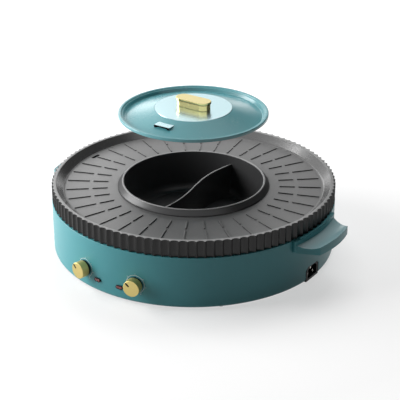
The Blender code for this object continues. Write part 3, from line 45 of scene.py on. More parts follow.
CAMERA_LENS = 110.34
SENSOR_WIDTH = 36
CAMERA_REACH = 20
LOOK_AT = Vector((0.00746, 0.00503, 0.0649))


def stand_off(item, turn, tilt, distance):
    """Stands something away from the cooker and facing it, at a turn from the dials and a tilt."""
    aim = Vector((math.sin(turn) * math.cos(tilt), -math.cos(turn) * math.cos(tilt), math.sin(tilt)))
    item.location = LOOK_AT + distance * aim
    item.rotation_euler = (item.location - LOOK_AT).to_track_quat("Z", "Y").to_euler()
    bpy.context.scene.collection.objects.link(item)


camera = bpy.data.objects.new("camera", bpy.data.cameras.new("camera"))
camera.data.lens = CAMERA_LENS
camera.data.sensor_width = SENSOR_WIDTH
camera.data.clip_end = CAMERA_REACH
stand_off(camera, CAMERA_TURN, CAMERA_TILT, CAMERA_DISTANCE)
bpy.context.scene.camera = camera
bpy.context.scene.view_settings.view_transform = "Standard"

# Studio. A pale floor that turns white further out, in a white room, with one very large soft lamp
# at the left, weaker ones overhead and at the right, and two narrow ones behind. Three dark cards
# show only in reflections.
FLOOR_SIZE = 12
FLOOR_COLOUR = (0.45, 0.45, 0.45)
FLOOR_LIFT = 0.54
FLOOR_NEAR = 0.42
FLOOR_FAR = 1.3
ROOM_LIGHT = 0.05
CARD_COLOUR = (0.004, 0.004, 0.004)


def lamp(name, turn, tilt, distance, wide, high, power):
    """A soft lamp that faces the cooker, at a turn from the camera and a tilt in degrees. Its
    distance and its two sides are in metres and its power in watts."""
    light = bpy.data.lights.new(name, "AREA")
    light.shape = "RECTANGLE"
    light.size = wide
    light.size_y = high
    light.energy = power
    stand_off(bpy.data.objects.new(name, light), CAMERA_TURN + math.radians(turn), math.radians(tilt),
              distance)


lamp("left_lamp", -95, 19, 1.5, 1.4, 1.4, 54)
lamp("overhead_lamp", 168, 54, 1.6, 1.2, 1.0, 19)
lamp("right_lamp", 126, 40, 1.7, 0.9, 0.6, 2.5)
lamp("rear_left_lamp", -165, 31, 1.1, 0.18, 0.86, 0.9)
lamp("rear_right_lamp", 166, 14, 1.1, 0.15, 0.49, 0.2)


def looked_at(tree):
    """An output that is 1 on camera, glossy and transmission rays, and 0 on rays that carry light."""
    ray = tree.nodes.new("ShaderNodeLightPath")
    either = tree.nodes.new("ShaderNodeMath")
    either.operation = "MAXIMUM"
    tree.links.new(ray.outputs["Is Camera Ray"], either.inputs[0])
    tree.links.new(ray.outputs["Is Glossy Ray"], either.inputs[1])
    shown = tree.nodes.new("ShaderNodeMath")
    shown.operation = "MAXIMUM"
    tree.links.new(either.outputs[0], shown.inputs[0])
    tree.links.new(ray.outputs["Is Transmission Ray"], shown.inputs[1])
    return shown.outputs[0]


room = bpy.data.worlds.new("room")
room.use_nodes = True
bpy.context.scene.world = room
tree = room.node_tree
background = tree.nodes["Background"]
background.inputs["Color"].default_value = (1, 1, 1, 1)
level = tree.nodes.new("ShaderNodeMapRange")
level.inputs["To Min"].default_value = ROOM_LIGHT
level.inputs["To Max"].default_value = 1
tree.links.new(looked_at(tree), level.inputs["Value"])
tree.links.new(level.outputs["Result"], background.inputs["Strength"])

floor_paint = bpy.data.materials.new("floor_paint")
floor_paint.use_nodes = True
tree = floor_paint.node_tree
tree.nodes.remove(tree.nodes["Principled BSDF"])
matt = tree.nodes.new("ShaderNodeBsdfDiffuse")
matt.inputs["Color"].default_value = (*FLOOR_COLOUR, 1)
glow = tree.nodes.new("ShaderNodeEmission")
where = tree.nodes.new("ShaderNodeTexCoord")
reach = tree.nodes.new("ShaderNodeVectorMath")
reach.operation = "LENGTH"
spread = tree.nodes.new("ShaderNodeMapRange")
spread.inputs["From Min"].default_value = FLOOR_NEAR
spread.inputs["From Max"].default_value = FLOOR_FAR
spread.inputs["To Min"].default_value = FLOOR_LIFT
spread.inputs["To Max"].default_value = 1
lift = tree.nodes.new("ShaderNodeMath")
lift.operation = "MULTIPLY"
both = tree.nodes.new("ShaderNodeAddShader")
tree.links.new(where.outputs["Object"], reach.inputs[0])
tree.links.new(reach.outputs["Value"], spread.inputs["Value"])
tree.links.new(looked_at(tree), lift.inputs[0])
tree.links.new(spread.outputs["Result"], lift.inputs[1])
tree.links.new(lift.outputs[0], glow.inputs["Strength"])
tree.links.new(matt.outputs[0], both.inputs[0])
tree.links.new(glow.outputs[0], both.inputs[1])
tree.links.new(both.outputs[0], tree.nodes["Material Output"].inputs["Surface"])


def flat_square(name, side, material):
    """A flat square sheet of one material."""
    shape = bmesh.new()
    bmesh.ops.create_grid(shape, x_segments=1, y_segments=1, size=side / 2)
    mesh = bpy.data.meshes.new(name)
    shape.to_mesh(mesh)
    shape.free()
    mesh.materials.append(material)
    return bpy.data.objects.new(name, mesh)


floor = flat_square("floor", FLOOR_SIZE, floor_paint)
bpy.context.scene.collection.objects.link(floor)

card_black = bpy.data.materials.new("card_black")
card_black.use_nodes = True
paint = card_black.node_tree.nodes["Principled BSDF"].inputs
paint["Base Color"].default_value = (*CARD_COLOUR, 1)
paint["Roughness"].default_value = 1
paint["Specular IOR Level"].default_value = 0


def dark_card(name, turn, tilt, distance, wide, high):
    """A black card that faces the cooker as a lamp does, and that only reflections show."""
    card = flat_square(name, 1, card_black)
    card.scale = (wide, high, 1)
    card.visible_camera = False
    card.visible_diffuse = False
    card.visible_shadow = False
    card.visible_transmission = False
    stand_off(card, CAMERA_TURN + math.radians(turn), math.radians(tilt), distance)


dark_card("left_card", -78, 21, 1.2, 0.45, 0.95)
dark_card("right_card", 116, 28, 1.3, 3.0, 1.9)
dark_card("top_card", 168, 56, 1.35, 1.15, 0.95)

# Base housing. One round moulding in satin teal plastic, its lower edge rounded and its upper
# edge crisp, with a flat ledge inside that carries the heat shield and the pan.
BODY_RADIUS = 0.200
BODY_WALL = 0.003
BODY_LOW = 0.003
BODY_TOP = 0.077
BODY_STEPS = 240
RIM_INNER = 0.1944
LEDGE_INNER = 0.187
LOWER_ROUND = 0.0055
UPPER_ROUND = 0.0007
SEAT_GAP = 0.0003
COVER_TOP = 0.0051
BOSS_CIRCLE = 0.1912
BOSS_RADIUS = 0.0058
BOSS_OVERLAP = 0.0006
BOSS_BORE_TOP = 0.0194
HOLE_DEPTH = 0.005
CUT_PAST = 0.002
SCREW_BORE = 0.002
SCREW_SIDES = 16
KNOB_ANGLE = math.radians(11.9)
KNOB_HEIGHT = 0.0315
DIAL_HOLE = 0.0049
LIGHT_ANGLE = math.radians(5.2)
LIGHT_HEIGHT = 0.0218
LIGHT_SLOT = (0.0092, 0.0038, 0.010)
NOTCH_DEPTH = 0.0116
INLET_ACROSS = -0.007
INLET_MIDDLE = 0.0141
INLET_HALF = 0.016
INLET_RISE = 0.0105
INLET_CHAMFER = 0.0045
HANDLE_SCREW_HEIGHT = 0.0655
HANDLE_SCREW_ANGLE = math.radians(9)
TEAL = (0.058, 0.258, 0.286)
TEAL_DEEP = (0.052, 0.240, 0.268)
CRISP_ANGLE = math.radians(30)


def grain_group():
    """Shader group: fine pores or peel on a moulded or coated surface, at a size in metres."""
    group = bpy.data.node_groups.new("surface_grain", "ShaderNodeTree")
    group.interface.new_socket("Vector", in_out="INPUT", socket_type="NodeSocketVector")
    size = group.interface.new_socket("Size", in_out="INPUT", socket_type="NodeSocketFloat")
    size.default_value = 0.0005
    group.interface.new_socket("Height", in_out="OUTPUT", socket_type="NodeSocketFloat")
    entry = group.nodes.new("NodeGroupInput")
    leave = group.nodes.new("NodeGroupOutput")
    scale = group.nodes.new("ShaderNodeMath")
    scale.operation = "DIVIDE"
    scale.inputs[0].default_value = 1
    noise = group.nodes.new("ShaderNodeTexNoise")
    noise.inputs["Detail"].default_value = 3
    noise.inputs["Roughness"].default_value = 0.6
    group.links.new(entry.outputs["Size"], scale.inputs[1])
    group.links.new(entry.outputs["Vector"], noise.inputs["Vector"])
    group.links.new(scale.outputs[0], noise.inputs["Scale"])
    group.links.new(noise.outputs["Fac"], leave.inputs["Height"])
    return group


def drift_group():
    """Shader group: a slow change between two colours and two roughnesses, with finer spots in it."""
    group = bpy.data.node_groups.new("slow_drift", "ShaderNodeTree")
    group.interface.new_socket("Vector", in_out="INPUT", socket_type="NodeSocketVector")
    for name in ("First Colour", "Second Colour"):
        group.interface.new_socket(name, in_out="INPUT", socket_type="NodeSocketColor")
    for name in ("Smooth", "Rough", "Spots"):
        group.interface.new_socket(name, in_out="INPUT", socket_type="NodeSocketFloat")
    group.interface.new_socket("Colour", in_out="OUTPUT", socket_type="NodeSocketColor")
    group.interface.new_socket("Roughness", in_out="OUTPUT", socket_type="NodeSocketFloat")
    entry = group.nodes.new("NodeGroupInput")
    leave = group.nodes.new("NodeGroupOutput")
    broad = group.nodes.new("ShaderNodeTexNoise")
    broad.inputs["Scale"].default_value = 9
    broad.inputs["Detail"].default_value = 2
    fine = group.nodes.new("ShaderNodeTexNoise")
    fine.inputs["Scale"].default_value = 700
    spread = group.nodes.new("ShaderNodeMix")
    spread.data_type = "FLOAT"
    mix = group.nodes.new("ShaderNodeMix")
    mix.data_type = "RGBA"
    rough = group.nodes.new("ShaderNodeMix")
    rough.data_type = "FLOAT"
    group.links.new(entry.outputs["Vector"], broad.inputs["Vector"])
    group.links.new(entry.outputs["Vector"], fine.inputs["Vector"])
    group.links.new(entry.outputs["Spots"], spread.inputs[0])
    group.links.new(broad.outputs["Fac"], spread.inputs[2])
    group.links.new(fine.outputs["Fac"], spread.inputs[3])
    group.links.new(spread.outputs[0], mix.inputs[0])
    group.links.new(entry.outputs["First Colour"], mix.inputs[6])
    group.links.new(entry.outputs["Second Colour"], mix.inputs[7])
    group.links.new(spread.outputs[0], rough.inputs[0])
    group.links.new(entry.outputs["Smooth"], rough.inputs[2])
    group.links.new(entry.outputs["Rough"], rough.inputs[3])
    group.links.new(mix.outputs[2], leave.inputs["Colour"])
    group.links.new(rough.outputs[0], leave.inputs["Roughness"])
    return group


surface_grain = grain_group()
slow_drift = drift_group()


def coating(name, first, second, smooth, rough, grain=0.0006, depth=0.00002, metallic=0, spots=0.3,
            coat=0, coat_roughness=0.1, specular=0.5):
    """A material whose colour and roughness drift between two values, over a fine grain."""
    mat = bpy.data.materials.new(name)
    mat.use_nodes = True
    tree = mat.node_tree
    shader = tree.nodes["Principled BSDF"]
    shader.inputs["Metallic"].default_value = metallic
    shader.inputs["Coat Weight"].default_value = coat
    shader.inputs["Coat Roughness"].default_value = coat_roughness
    shader.inputs["Specular IOR Level"].default_value = specular
    where = tree.nodes.new("ShaderNodeTexCoord")
    drift = tree.nodes.new("ShaderNodeGroup")
    drift.node_tree = slow_drift
    drift.name = "drift"
    drift.inputs["First Colour"].default_value = (*first, 1)
    drift.inputs["Second Colour"].default_value = (*second, 1)
    drift.inputs["Smooth"].default_value = smooth
    drift.inputs["Rough"].default_value = rough
    drift.inputs["Spots"].default_value = spots
    pores = tree.nodes.new("ShaderNodeGroup")
    pores.node_tree = surface_grain
    pores.name = "pores"
    pores.inputs["Size"].default_value = grain
    bump = tree.nodes.new("ShaderNodeBump")
    bump.name = "bump"
    bump.inputs["Strength"].default_value = 1
    bump.inputs["Distance"].default_value = depth
    tree.links.new(where.outputs["Object"], drift.inputs["Vector"])
    tree.links.new(where.outputs["Object"], pores.inputs["Vector"])
    tree.links.new(pores.outputs["Height"], bump.inputs["Height"])
    tree.links.new(drift.outputs["Colour"], shader.inputs["Base Color"])
    tree.links.new(drift.outputs["Roughness"], shader.inputs["Roughness"])
    tree.links.new(bump.outputs["Normal"], shader.inputs["Normal"])
    return mat


def turned(outline, rounds, steps, closed=True):
    """A shape turned round Z from an outline of radii and heights, with chosen corners rounded."""
    shape = bmesh.new()
    corners = [shape.verts.new((radius, 0, height)) for radius, height in outline]
    for start, end in zip(corners, corners[1:]):
        shape.edges.new((start, end))
    if closed:
        shape.edges.new((corners[-1], corners[0]))
    for index, size, segments in rounds:
        bmesh.ops.bevel(shape, geom=[corners[index]], offset=size, segments=segments, profile=0.5,
                        affect="VERTICES", material=-1)
    bmesh.ops.spin(shape, geom=shape.verts[:] + shape.edges[:], cent=(0, 0, 0), axis=(0, 0, 1),
                   dvec=(0, 0, 0), angle=2 * math.pi, steps=steps, use_merge=True)
    bmesh.ops.remove_doubles(shape, verts=shape.verts, dist=0.000002)
    bmesh.ops.recalc_face_normals(shape, faces=shape.faces)
    return shape


def outwards(angle, radius, height):
    """A place on the wall whose Z points straight out and whose Y points up."""
    spin = Matrix.Rotation(angle, 4, "Z") @ Matrix.Rotation(math.pi / 2, 4, "X")
    return Matrix.Translation((radius * math.sin(angle), -radius * math.cos(angle), height)) @ spin


def drill(shape, radius, low, high, place, sides=32):
    """Adds a cylinder between two depths along a place's Z."""
    bmesh.ops.create_cone(shape, cap_ends=True, segments=sides, radius1=radius, radius2=radius,
                          depth=high - low, matrix=place @ Matrix.Translation((0, 0, (low + high) / 2)))


def add_box(shape, sizes, place):
    """Adds a box of three sizes, centred on a place."""
    bmesh.ops.create_cube(shape, size=1, matrix=place @ Matrix.Diagonal((*sizes, 1)))


def plate(points, low, high):
    """A flat outline given thickness between two heights."""
    shape = bmesh.new()
    face = shape.faces.new([shape.verts.new((x, y, low)) for x, y in points])
    lifted = bmesh.ops.extrude_face_region(shape, geom=[face])
    bmesh.ops.translate(shape, vec=(0, 0, high - low),
                        verts=[item for item in lifted["geom"] if isinstance(item, bmesh.types.BMVert)])
    bmesh.ops.recalc_face_normals(shape, faces=shape.faces)
    return shape


def join(shape, other, place=Matrix.Identity(4)):
    """Adds a second shape to the first, at a place."""
    bmesh.ops.transform(other, matrix=place, verts=other.verts)
    spare = bpy.data.meshes.new("spare")
    other.to_mesh(spare)
    other.free()
    shape.from_mesh(spare)
    bpy.data.meshes.remove(spare)


def cut(shape, tool):
    """Takes one shape away from another."""
    pair = []
    for each in (shape, tool):
        mesh = bpy.data.meshes.new("carving")
        each.to_mesh(mesh)
        each.free()
        pair.append(bpy.data.objects.new("carving", mesh))
        bpy.context.scene.collection.objects.link(pair[-1])
    carve = pair[0].modifiers.new("carve", "BOOLEAN")
    carve.operation = "DIFFERENCE"
    carve.solver = "EXACT"
    carve.object = pair[1]
    ready = pair[0].evaluated_get(bpy.context.evaluated_depsgraph_get())
    result = bmesh.new()
    result.from_mesh(ready.to_mesh())
    for each in pair:
        bpy.data.objects.remove(each, do_unlink=True)
    return result


def add_piece(name, shape, body, slot, *finishes):
    """Makes a shape a piece, smooth but for its real edges, that rides on a CAD body."""
    mesh = bpy.data.meshes.new(name)
    shape.to_mesh(mesh)
    shape.free()
    mesh.shade_smooth()
    mesh.set_sharp_from_angle(angle=CRISP_ANGLE)
    for finish in finishes:
        mesh.materials.append(finish)
    piece = bpy.data.objects.new(name, mesh)
    bpy.context.scene.collection.objects.link(piece)
    piece.modifiers.new("even_shading", "WEIGHTED_NORMAL").keep_sharp = True
    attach(piece, body)
    return piece


def drill_handle_screws(shape, side, low, high):
    """Adds the holes of one handle's two screws, between two depths from the wall's face."""
    for end in (-1, 1):
        angle = side * math.pi / 2 + end * HANDLE_SCREW_ANGLE
        place = outwards(angle, BODY_RADIUS, HANDLE_SCREW_HEIGHT)
        drill(shape, SCREW_BORE, low, high, place, SCREW_SIDES)
    return shape


def clipped(half, low, high, chamfer):
    """An outline for the inlet: a rectangle with its two upper corners cut off."""
    return [(-half, low), (half, low), (half, high - chamfer), (half - chamfer, high),
            (-half + chamfer, high), (-half, high - chamfer)]


teal_moulding = coating("teal_moulding", TEAL, TEAL_DEEP, 0.36, 0.42, grain=0.0011, depth=0.000012,
                        coat=0.1, coat_roughness=0.12, specular=0.3)
bosses = [Matrix.Translation((BOSS_CIRCLE * math.sin(angle), -BOSS_CIRCLE * math.cos(angle), 0))
          for angle in [math.radians(turn) for turn in (45, 135, 225, 315)]]
shape = turned([(BODY_RADIUS, BODY_TOP), (BODY_RADIUS, BODY_LOW), (RIM_INNER, BODY_LOW),
                (RIM_INNER, BODY_LOW + BODY_WALL), (BODY_RADIUS - BODY_WALL, BODY_LOW + 2 * BODY_WALL),
                (BODY_RADIUS - BODY_WALL, BODY_TOP - BODY_WALL), (LEDGE_INNER, BODY_TOP - BODY_WALL),
                (LEDGE_INNER, BODY_TOP)],
               [(1, LOWER_ROUND, 7), (0, UPPER_ROUND, 3), (7, UPPER_ROUND, 2)], BODY_STEPS)
for boss in bosses:
    drill(shape, BOSS_RADIUS, COVER_TOP + SEAT_GAP, BODY_TOP - BODY_WALL + BOSS_OVERLAP, boss, 20)

holes = bmesh.new()
for side in (-1, 1):
    drill(holes, DIAL_HOLE, -HOLE_DEPTH, CUT_PAST, outwards(side * KNOB_ANGLE, BODY_RADIUS, KNOB_HEIGHT))
    add_box(holes, LIGHT_SLOT, outwards(side * LIGHT_ANGLE, BODY_RADIUS, LIGHT_HEIGHT))
    drill_handle_screws(holes, side, -HOLE_DEPTH, CUT_PAST)
for boss in bosses:
    drill(holes, SCREW_BORE, BODY_LOW, BOSS_BORE_TOP, boss, SCREW_SIDES)
notch = plate(clipped(INLET_HALF + SEAT_GAP, -BODY_LOW - INLET_MIDDLE, INLET_RISE + SEAT_GAP,
                      INLET_CHAMFER), -NOTCH_DEPTH, CUT_PAST)
facing_right = Matrix.Rotation(math.pi / 2, 4, "Z") @ Matrix.Rotation(math.pi / 2, 4, "X")
inlet_place = Matrix.Translation((BODY_RADIUS, INLET_ACROSS, INLET_MIDDLE)) @ facing_right
join(holes, notch, inlet_place)
housing = add_piece("base_housing", cut(shape, holes), "base", "teal_housing", teal_moulding)
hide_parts("base_shell")

# Bottom cover, its screws and the feet. The cover is plain steel sheet with slots for air, and
# the feet are black rubber pushed into it. Their CAD solids have the right shape.
sheet_steel = coating("sheet_steel", (0.50, 0.50, 0.51), (0.58, 0.58, 0.59), 0.28, 0.42,
                      grain=0.0004, depth=0.000006, metallic=1)
foot_rubber = coating("foot_rubber", (0.018, 0.018, 0.018), (0.028, 0.028, 0.028), 0.65, 0.85,
                      grain=0.0005, depth=0.00004, specular=0.3)


def refinish(material, *names):
    """Gives CAD nodes whose shape is right a better material."""
    for name in names:
        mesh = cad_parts[name].data
        mesh.materials.clear()
        mesh.materials.append(material)


CORNERS = ("front_left", "front_right", "rear_left", "rear_right")
refinish(sheet_steel, "bottom_cover", *["cover_screw_" + corner for corner in CORNERS],
         *["handle_" + side + "_screw_" + end for side in ("left", "right") for end in ("a", "b")])
refinish(foot_rubber, *["foot_" + corner for corner in CORNERS])

# Grill pan. Cast aluminium under a grey non-stick coating: an upright skirt of flutes that meet in
# narrow crests, a flat scalloped rim, a sunken plate and two rings of ribs. The coating is darkest
# on the skirt, and the ribs' sides and the drain's walls take the same dark coating as painted
# shade. The slope inside the rim is smoothest and is painted darker than the plate as shade, and
# the rim's top is painted paler as a sheen.
PAN_BOTTOM = 0.0773
PAN_TOP = 0.101
PLATE_TOP = 0.090
PLATE_BOTTOM = 0.087
PAN_LIP = 0.1936
PLATE_RADIUS = 0.1824
PAN_HOLE = 0.1035
SKIRT_INNER = 0.194
SKIRT_SHOULDER = 0.0925
FLUTE_COUNT = 112
FLUTE_DEPTH = 0.0032
FLUTE_FACETS = 10
CREST_SHARE = 0.94
RIB_COUNT = 36
RIB_WIDTH = 0.0022
RIB_HEIGHT = 0.0012
RIB_SINK = 0.0003
RIB_ROUND = 0.0004
RIB_ROWS = ((0.1215, 0.1430), (0.1482, 0.1796))
DRAIN_OUT = 0.1764
DRAIN_WIDE = 0.0052
DRAIN_LONG = 0.0155
DRAIN_ROUND = 0.0019
DRAIN_CLEAR = 0.0006
MARGIN = 0.0001
SKIRT_AND_SHADE_FINISH, RIM_SHEEN_FINISH, SLOPE_SHADE_FINISH = 1, 2, 3
plate_coating = coating("plate_coating", (0.080, 0.080, 0.080), (0.110, 0.110, 0.110), 0.30, 0.42,
                        grain=0.00045, depth=0.00003, spots=0.55)
slope_painted_shade = coating("slope_painted_shade", (0.022, 0.022, 0.022), (0.032, 0.032, 0.032), 0.22, 0.30,
                        grain=0.00045, depth=0.00001, spots=0.1, coat=0.5, coat_roughness=0.16,
                        specular=1)
dark_skirt_and_shade_coating = coating("dark_skirt_and_shade_coating", (0.012, 0.012, 0.012), (0.020, 0.020, 0.020), 0.24, 0.34,
                        grain=0.00045, depth=0.00003, spots=0.55, specular=0.3)
rim_painted_sheen = coating("rim_painted_sheen", (0.22, 0.22, 0.22), (0.27, 0.27, 0.27), 0.40, 0.54,
                      grain=0.00045, depth=0.00003, spots=0.55, specular=0.2)


def upright_edges(shape):
    """The edges that run straight up."""
    return [edge for edge in shape.edges
            if (edge.verts[0].co - edge.verts[1].co).xy.length < MARGIN]


def rounded(shape, edges, size, segments):
    """Rounds some of a shape's edges."""
    bmesh.ops.bevel(shape, geom=edges, offset=size, segments=segments, profile=0.5, affect="EDGES",
                    material=-1)


# Each flute is one arc hollowed into the skirt. It stops just short of the next one, so the crest
# between them stays narrow and flat.
pitch = 2 * math.pi / FLUTE_COUNT
half_chord = BODY_RADIUS * math.sin(pitch / 2)
sink = FLUTE_DEPTH - BODY_RADIUS * (1 - math.cos(pitch / 2))
hollow = (half_chord ** 2 + sink ** 2) / (2 * sink)
opening = math.asin(half_chord / hollow) * CREST_SHARE
flute_points = []
for flute in range(FLUTE_COUNT):
    for facet in range(FLUTE_FACETS):
        bend = opening * (2 * facet / (FLUTE_FACETS - 1) - 1)
        along = BODY_RADIUS - FLUTE_DEPTH + hollow - hollow * math.cos(bend)
        across = hollow * math.sin(bend)
        angle = (flute + 0.5) * pitch + math.atan2(across, along)
        flute_points.append((math.hypot(along, across), angle))

# Rings up the skirt, over the rim, down to the plate and back below it. The fluted ones are given
# by how far in they stand and their height, the round ones by radius and height.
fluted = [(0.0002, PAN_BOTTOM), (0, PAN_BOTTOM + 0.0004), (0, PAN_TOP - 0.0008),
          (0.0001, PAN_TOP - 0.0004), (0.0004, PAN_TOP - 0.0001), (0.0008, PAN_TOP)]
plain = [(PAN_LIP + 0.0007, PAN_TOP), (PAN_LIP + 0.0001, PAN_TOP - 0.0001),
         (PAN_LIP - 0.0005, PAN_TOP - 0.0006), (PLATE_RADIUS + 0.0022, PLATE_TOP + 0.0021),
         (PLATE_RADIUS + 0.0009, PLATE_TOP + 0.0010), (PLATE_RADIUS - 0.0009, PLATE_TOP + 0.0002),
         (PLATE_RADIUS - 0.0024, PLATE_TOP), (0.150, PLATE_TOP), (0.120, PLATE_TOP),
         (PAN_HOLE + 0.0010, PLATE_TOP), (PAN_HOLE + 0.0002, PLATE_TOP - 0.0003),
         (PAN_HOLE, PLATE_TOP - 0.0010), (PAN_HOLE, PLATE_BOTTOM), (0.145, PLATE_BOTTOM),
         (SKIRT_INNER - PAN_LIP + PLATE_RADIUS, PLATE_BOTTOM), (SKIRT_INNER, SKIRT_SHOULDER),
         (SKIRT_INNER, PAN_BOTTOM)]
rings = [[(radius - inset, angle, height) for radius, angle in flute_points]
         for inset, height in fluted]
rings += [[(radius, angle, height) for _, angle in flute_points] for radius, height in plain]
shape = bmesh.new()
bmesh.ops.create_circle(shape, cap_ends=False, segments=len(flute_points), radius=BODY_RADIUS)
ring = shape.verts[:]
edges = first = shape.edges[:]
for points in rings:
    if points is not rings[0]:
        grown = bmesh.ops.extrude_edge_only(shape, edges=edges)["geom"]
        edges = [item for item in grown if isinstance(item, bmesh.types.BMEdge)]
        ring = [item for item in grown if isinstance(item, bmesh.types.BMVert)]
    for corner, (radius, angle, height) in zip(ring, points):
        corner.co = (radius * math.cos(angle), radius * math.sin(angle), height)
bmesh.ops.bridge_loops(shape, edges=edges + first)
bmesh.ops.recalc_face_normals(shape, faces=shape.faces)

drain = bmesh.new()
add_box(drain, (DRAIN_WIDE, DRAIN_LONG, 0.02), Matrix.Translation((-DRAIN_OUT, 0, PLATE_TOP)))
rounded(drain, upright_edges(drain), DRAIN_ROUND, 4)
shape = cut(shape, drain)
rib_top = PLATE_TOP + RIB_HEIGHT
for start, end in RIB_ROWS:
    bar = bmesh.new()
    add_box(bar, (RIB_WIDTH, end - start, RIB_HEIGHT + 2 * RIB_SINK),
            Matrix.Translation((0, (start + end) / 2, rib_top - RIB_HEIGHT / 2 - RIB_SINK)))
    rounded(bar, upright_edges(bar), RIB_WIDTH * 0.45, 3)
    top = [edge for edge in bar.edges if min(corner.co.z for corner in edge.verts) > rib_top - MARGIN]
    rounded(bar, top, RIB_ROUND, 2)
    mesh = bpy.data.meshes.new("bar")
    bar.to_mesh(mesh)
    bar.free()
    for index in range(RIB_COUNT):
        copy = bmesh.new()
        copy.from_mesh(mesh)
        if end > DRAIN_OUT and index == RIB_COUNT // 4:
            for corner in copy.verts:
                corner.co.y = min(corner.co.y, DRAIN_OUT - DRAIN_WIDE / 2 - DRAIN_CLEAR)
            bmesh.ops.remove_doubles(copy, verts=copy.verts, dist=0.00001)
        join(shape, copy, Matrix.Rotation(2 * math.pi * index / RIB_COUNT, 4, "Z"))
    bpy.data.meshes.remove(mesh)

shape.normal_update()
for face in shape.faces:
    middle = face.calc_center_median()
    radius = middle.xy.length
    steep = abs(face.normal.z) < 0.5
    on_skirt = radius > SKIRT_INNER + 0.0012
    on_rib = radius < RIB_ROWS[1][1] and middle.z > PLATE_TOP
    in_drain = (abs(middle.x + DRAIN_OUT) < DRAIN_WIDE / 2 + MARGIN
                and abs(middle.y) < DRAIN_LONG / 2 + MARGIN)
    # The skirt's steep faces take the dark coating. On the ribs' sides and the drain's walls it is
    # painted shade.
    if steep and (on_skirt or on_rib or in_drain):
        face.material_index = SKIRT_AND_SHADE_FINISH
    # The rim's top is painted paler, as a sheen.
    elif radius > PAN_LIP - 0.0003 and middle.z > PAN_TOP - 0.0008:
        face.material_index = RIM_SHEEN_FINISH
    # The slope inside the rim is painted darker than the plate, as shade, and is smoother and glossier.
    elif radius > PLATE_RADIUS + 0.0009 and middle.z > PLATE_TOP:
        face.material_index = SLOPE_SHADE_FINISH
pan = add_piece("fluted_pan", shape, "grill_pan", "grill_coating", plate_coating, dark_skirt_and_shade_coating,
                rim_painted_sheen, slope_painted_shade)
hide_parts("grill_pan")

# Divided pot. Deep-drawn aluminium under a darker coating, with a wide collar that slopes down to
# the plate, a rolled lip and an S-shaped wall across the middle, both painted pale along their
# tops as a highlight.
POT_TOP = 0.0984
POT_FLOOR = 0.0373
POT_BOTTOM = 0.0343
POT_MOUTH = 0.0984
POT_RIM = 0.1014
POT_LOW = 0.0944
POT_FLOOR_RADIUS = 0.0845
POT_CORNER_TOP = 0.0463
POT_WALL = 0.003
COLLAR_RADIUS = 0.1073
COLLAR_SEAT = 0.0903
DIVIDER_LOW = 0.0353
DIVIDER_TOP = 0.0855
DIVIDER_SWING = 0.0065
DIVIDER_THICKNESS = 0.0024
DIVIDER_ROUND = 0.0009
POT_STEPS = 200
LIP_HIGHLIGHT_DEPTH = 0.0006
DIVIDER_HIGHLIGHT_DEPTH = 0.0005
TOP_HIGHLIGHT_FINISH = 1
pot_coating = coating("pot_coating", (0.030, 0.030, 0.031), (0.042, 0.042, 0.043), 0.26, 0.36,
                      grain=0.0005, depth=0.000015, metallic=0.1, spots=0.4, specular=0.4)
pale_top_highlight = coating("pale_top_highlight", (0.200, 0.200, 0.200), (0.260, 0.260, 0.260), 0.34, 0.44,
                       grain=0.0005, depth=0.00001, specular=0.4)
shape = turned([(0, POT_FLOOR), (POT_FLOOR_RADIUS + 0.004, POT_FLOOR), (POT_LOW, POT_CORNER_TOP),
                (POT_MOUTH, POT_TOP), (POT_RIM, POT_TOP), (POT_RIM, POT_TOP - 0.0011),
                (COLLAR_RADIUS, COLLAR_SEAT + 0.0014), (COLLAR_RADIUS, COLLAR_SEAT),
                (POT_MOUTH + POT_WALL, COLLAR_SEAT), (POT_LOW + POT_WALL, POT_CORNER_TOP),
                (POT_FLOOR_RADIUS, POT_BOTTOM), (0, POT_BOTTOM)],
               [(1, 0.004, 5), (2, 0.005, 5), (3, 0.0012, 5), (4, 0.0010, 5), (5, 0.0005, 3),
                (6, 0.0011, 5), (7, 0.0005, 3), (9, 0.004, 4), (10, 0.003, 4)], POT_STEPS, closed=False)
# The lip's top is painted pale, as a highlight.
for face in shape.faces:
    if face.calc_center_median().z > POT_TOP - LIP_HIGHLIGHT_DEPTH:
        face.material_index = TOP_HIGHLIGHT_FINISH


def inner_radius(height):
    """The radius at the middle of the pot's wall, at a height."""
    if height < POT_CORNER_TOP:
        share = (height - POT_FLOOR) / (POT_CORNER_TOP - POT_FLOOR)
        return POT_FLOOR_RADIUS + (POT_LOW - POT_FLOOR_RADIUS) * max(share, 0) + POT_WALL * 0.4
    share = (height - POT_CORNER_TOP) / (POT_TOP - POT_CORNER_TOP)
    return POT_LOW + (POT_MOUTH - POT_LOW) * share + POT_WALL / 2


wall = bmesh.new()
bmesh.ops.create_grid(wall, x_segments=80, y_segments=14, size=0.5)
for corner in wall.verts:
    height = DIVIDER_LOW + (DIVIDER_TOP - DIVIDER_LOW) * (corner.co.y + 0.5)
    along = 2 * corner.co.x
    corner.co = (-DIVIDER_SWING * math.sin(math.pi * along), inner_radius(height) * along, height)
bmesh.ops.recalc_face_normals(wall, faces=wall.faces)
bmesh.ops.solidify(wall, geom=wall.faces[:], thickness=DIVIDER_THICKNESS)
top = [edge for edge in wall.edges if min(corner.co.z for corner in edge.verts) > DIVIDER_TOP - 0.00001
       and edge.calc_face_angle(0) > 1]
rounded(wall, top, DIVIDER_ROUND, 4)
# The divider's top is painted pale, as a highlight.
for face in wall.faces:
    if face.calc_center_median().z > DIVIDER_TOP - DIVIDER_HIGHLIGHT_DEPTH:
        face.material_index = TOP_HIGHLIGHT_FINISH
middle_shift = -sum(corner.co.x for corner in wall.verts) / len(wall.verts)
bmesh.ops.translate(wall, verts=wall.verts, vec=(middle_shift, 0, 0))
join(shape, wall)
divided_pot = add_piece("divided_pot", shape, "pot", "pot_coating", pot_coating, pale_top_highlight)
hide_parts("pot")
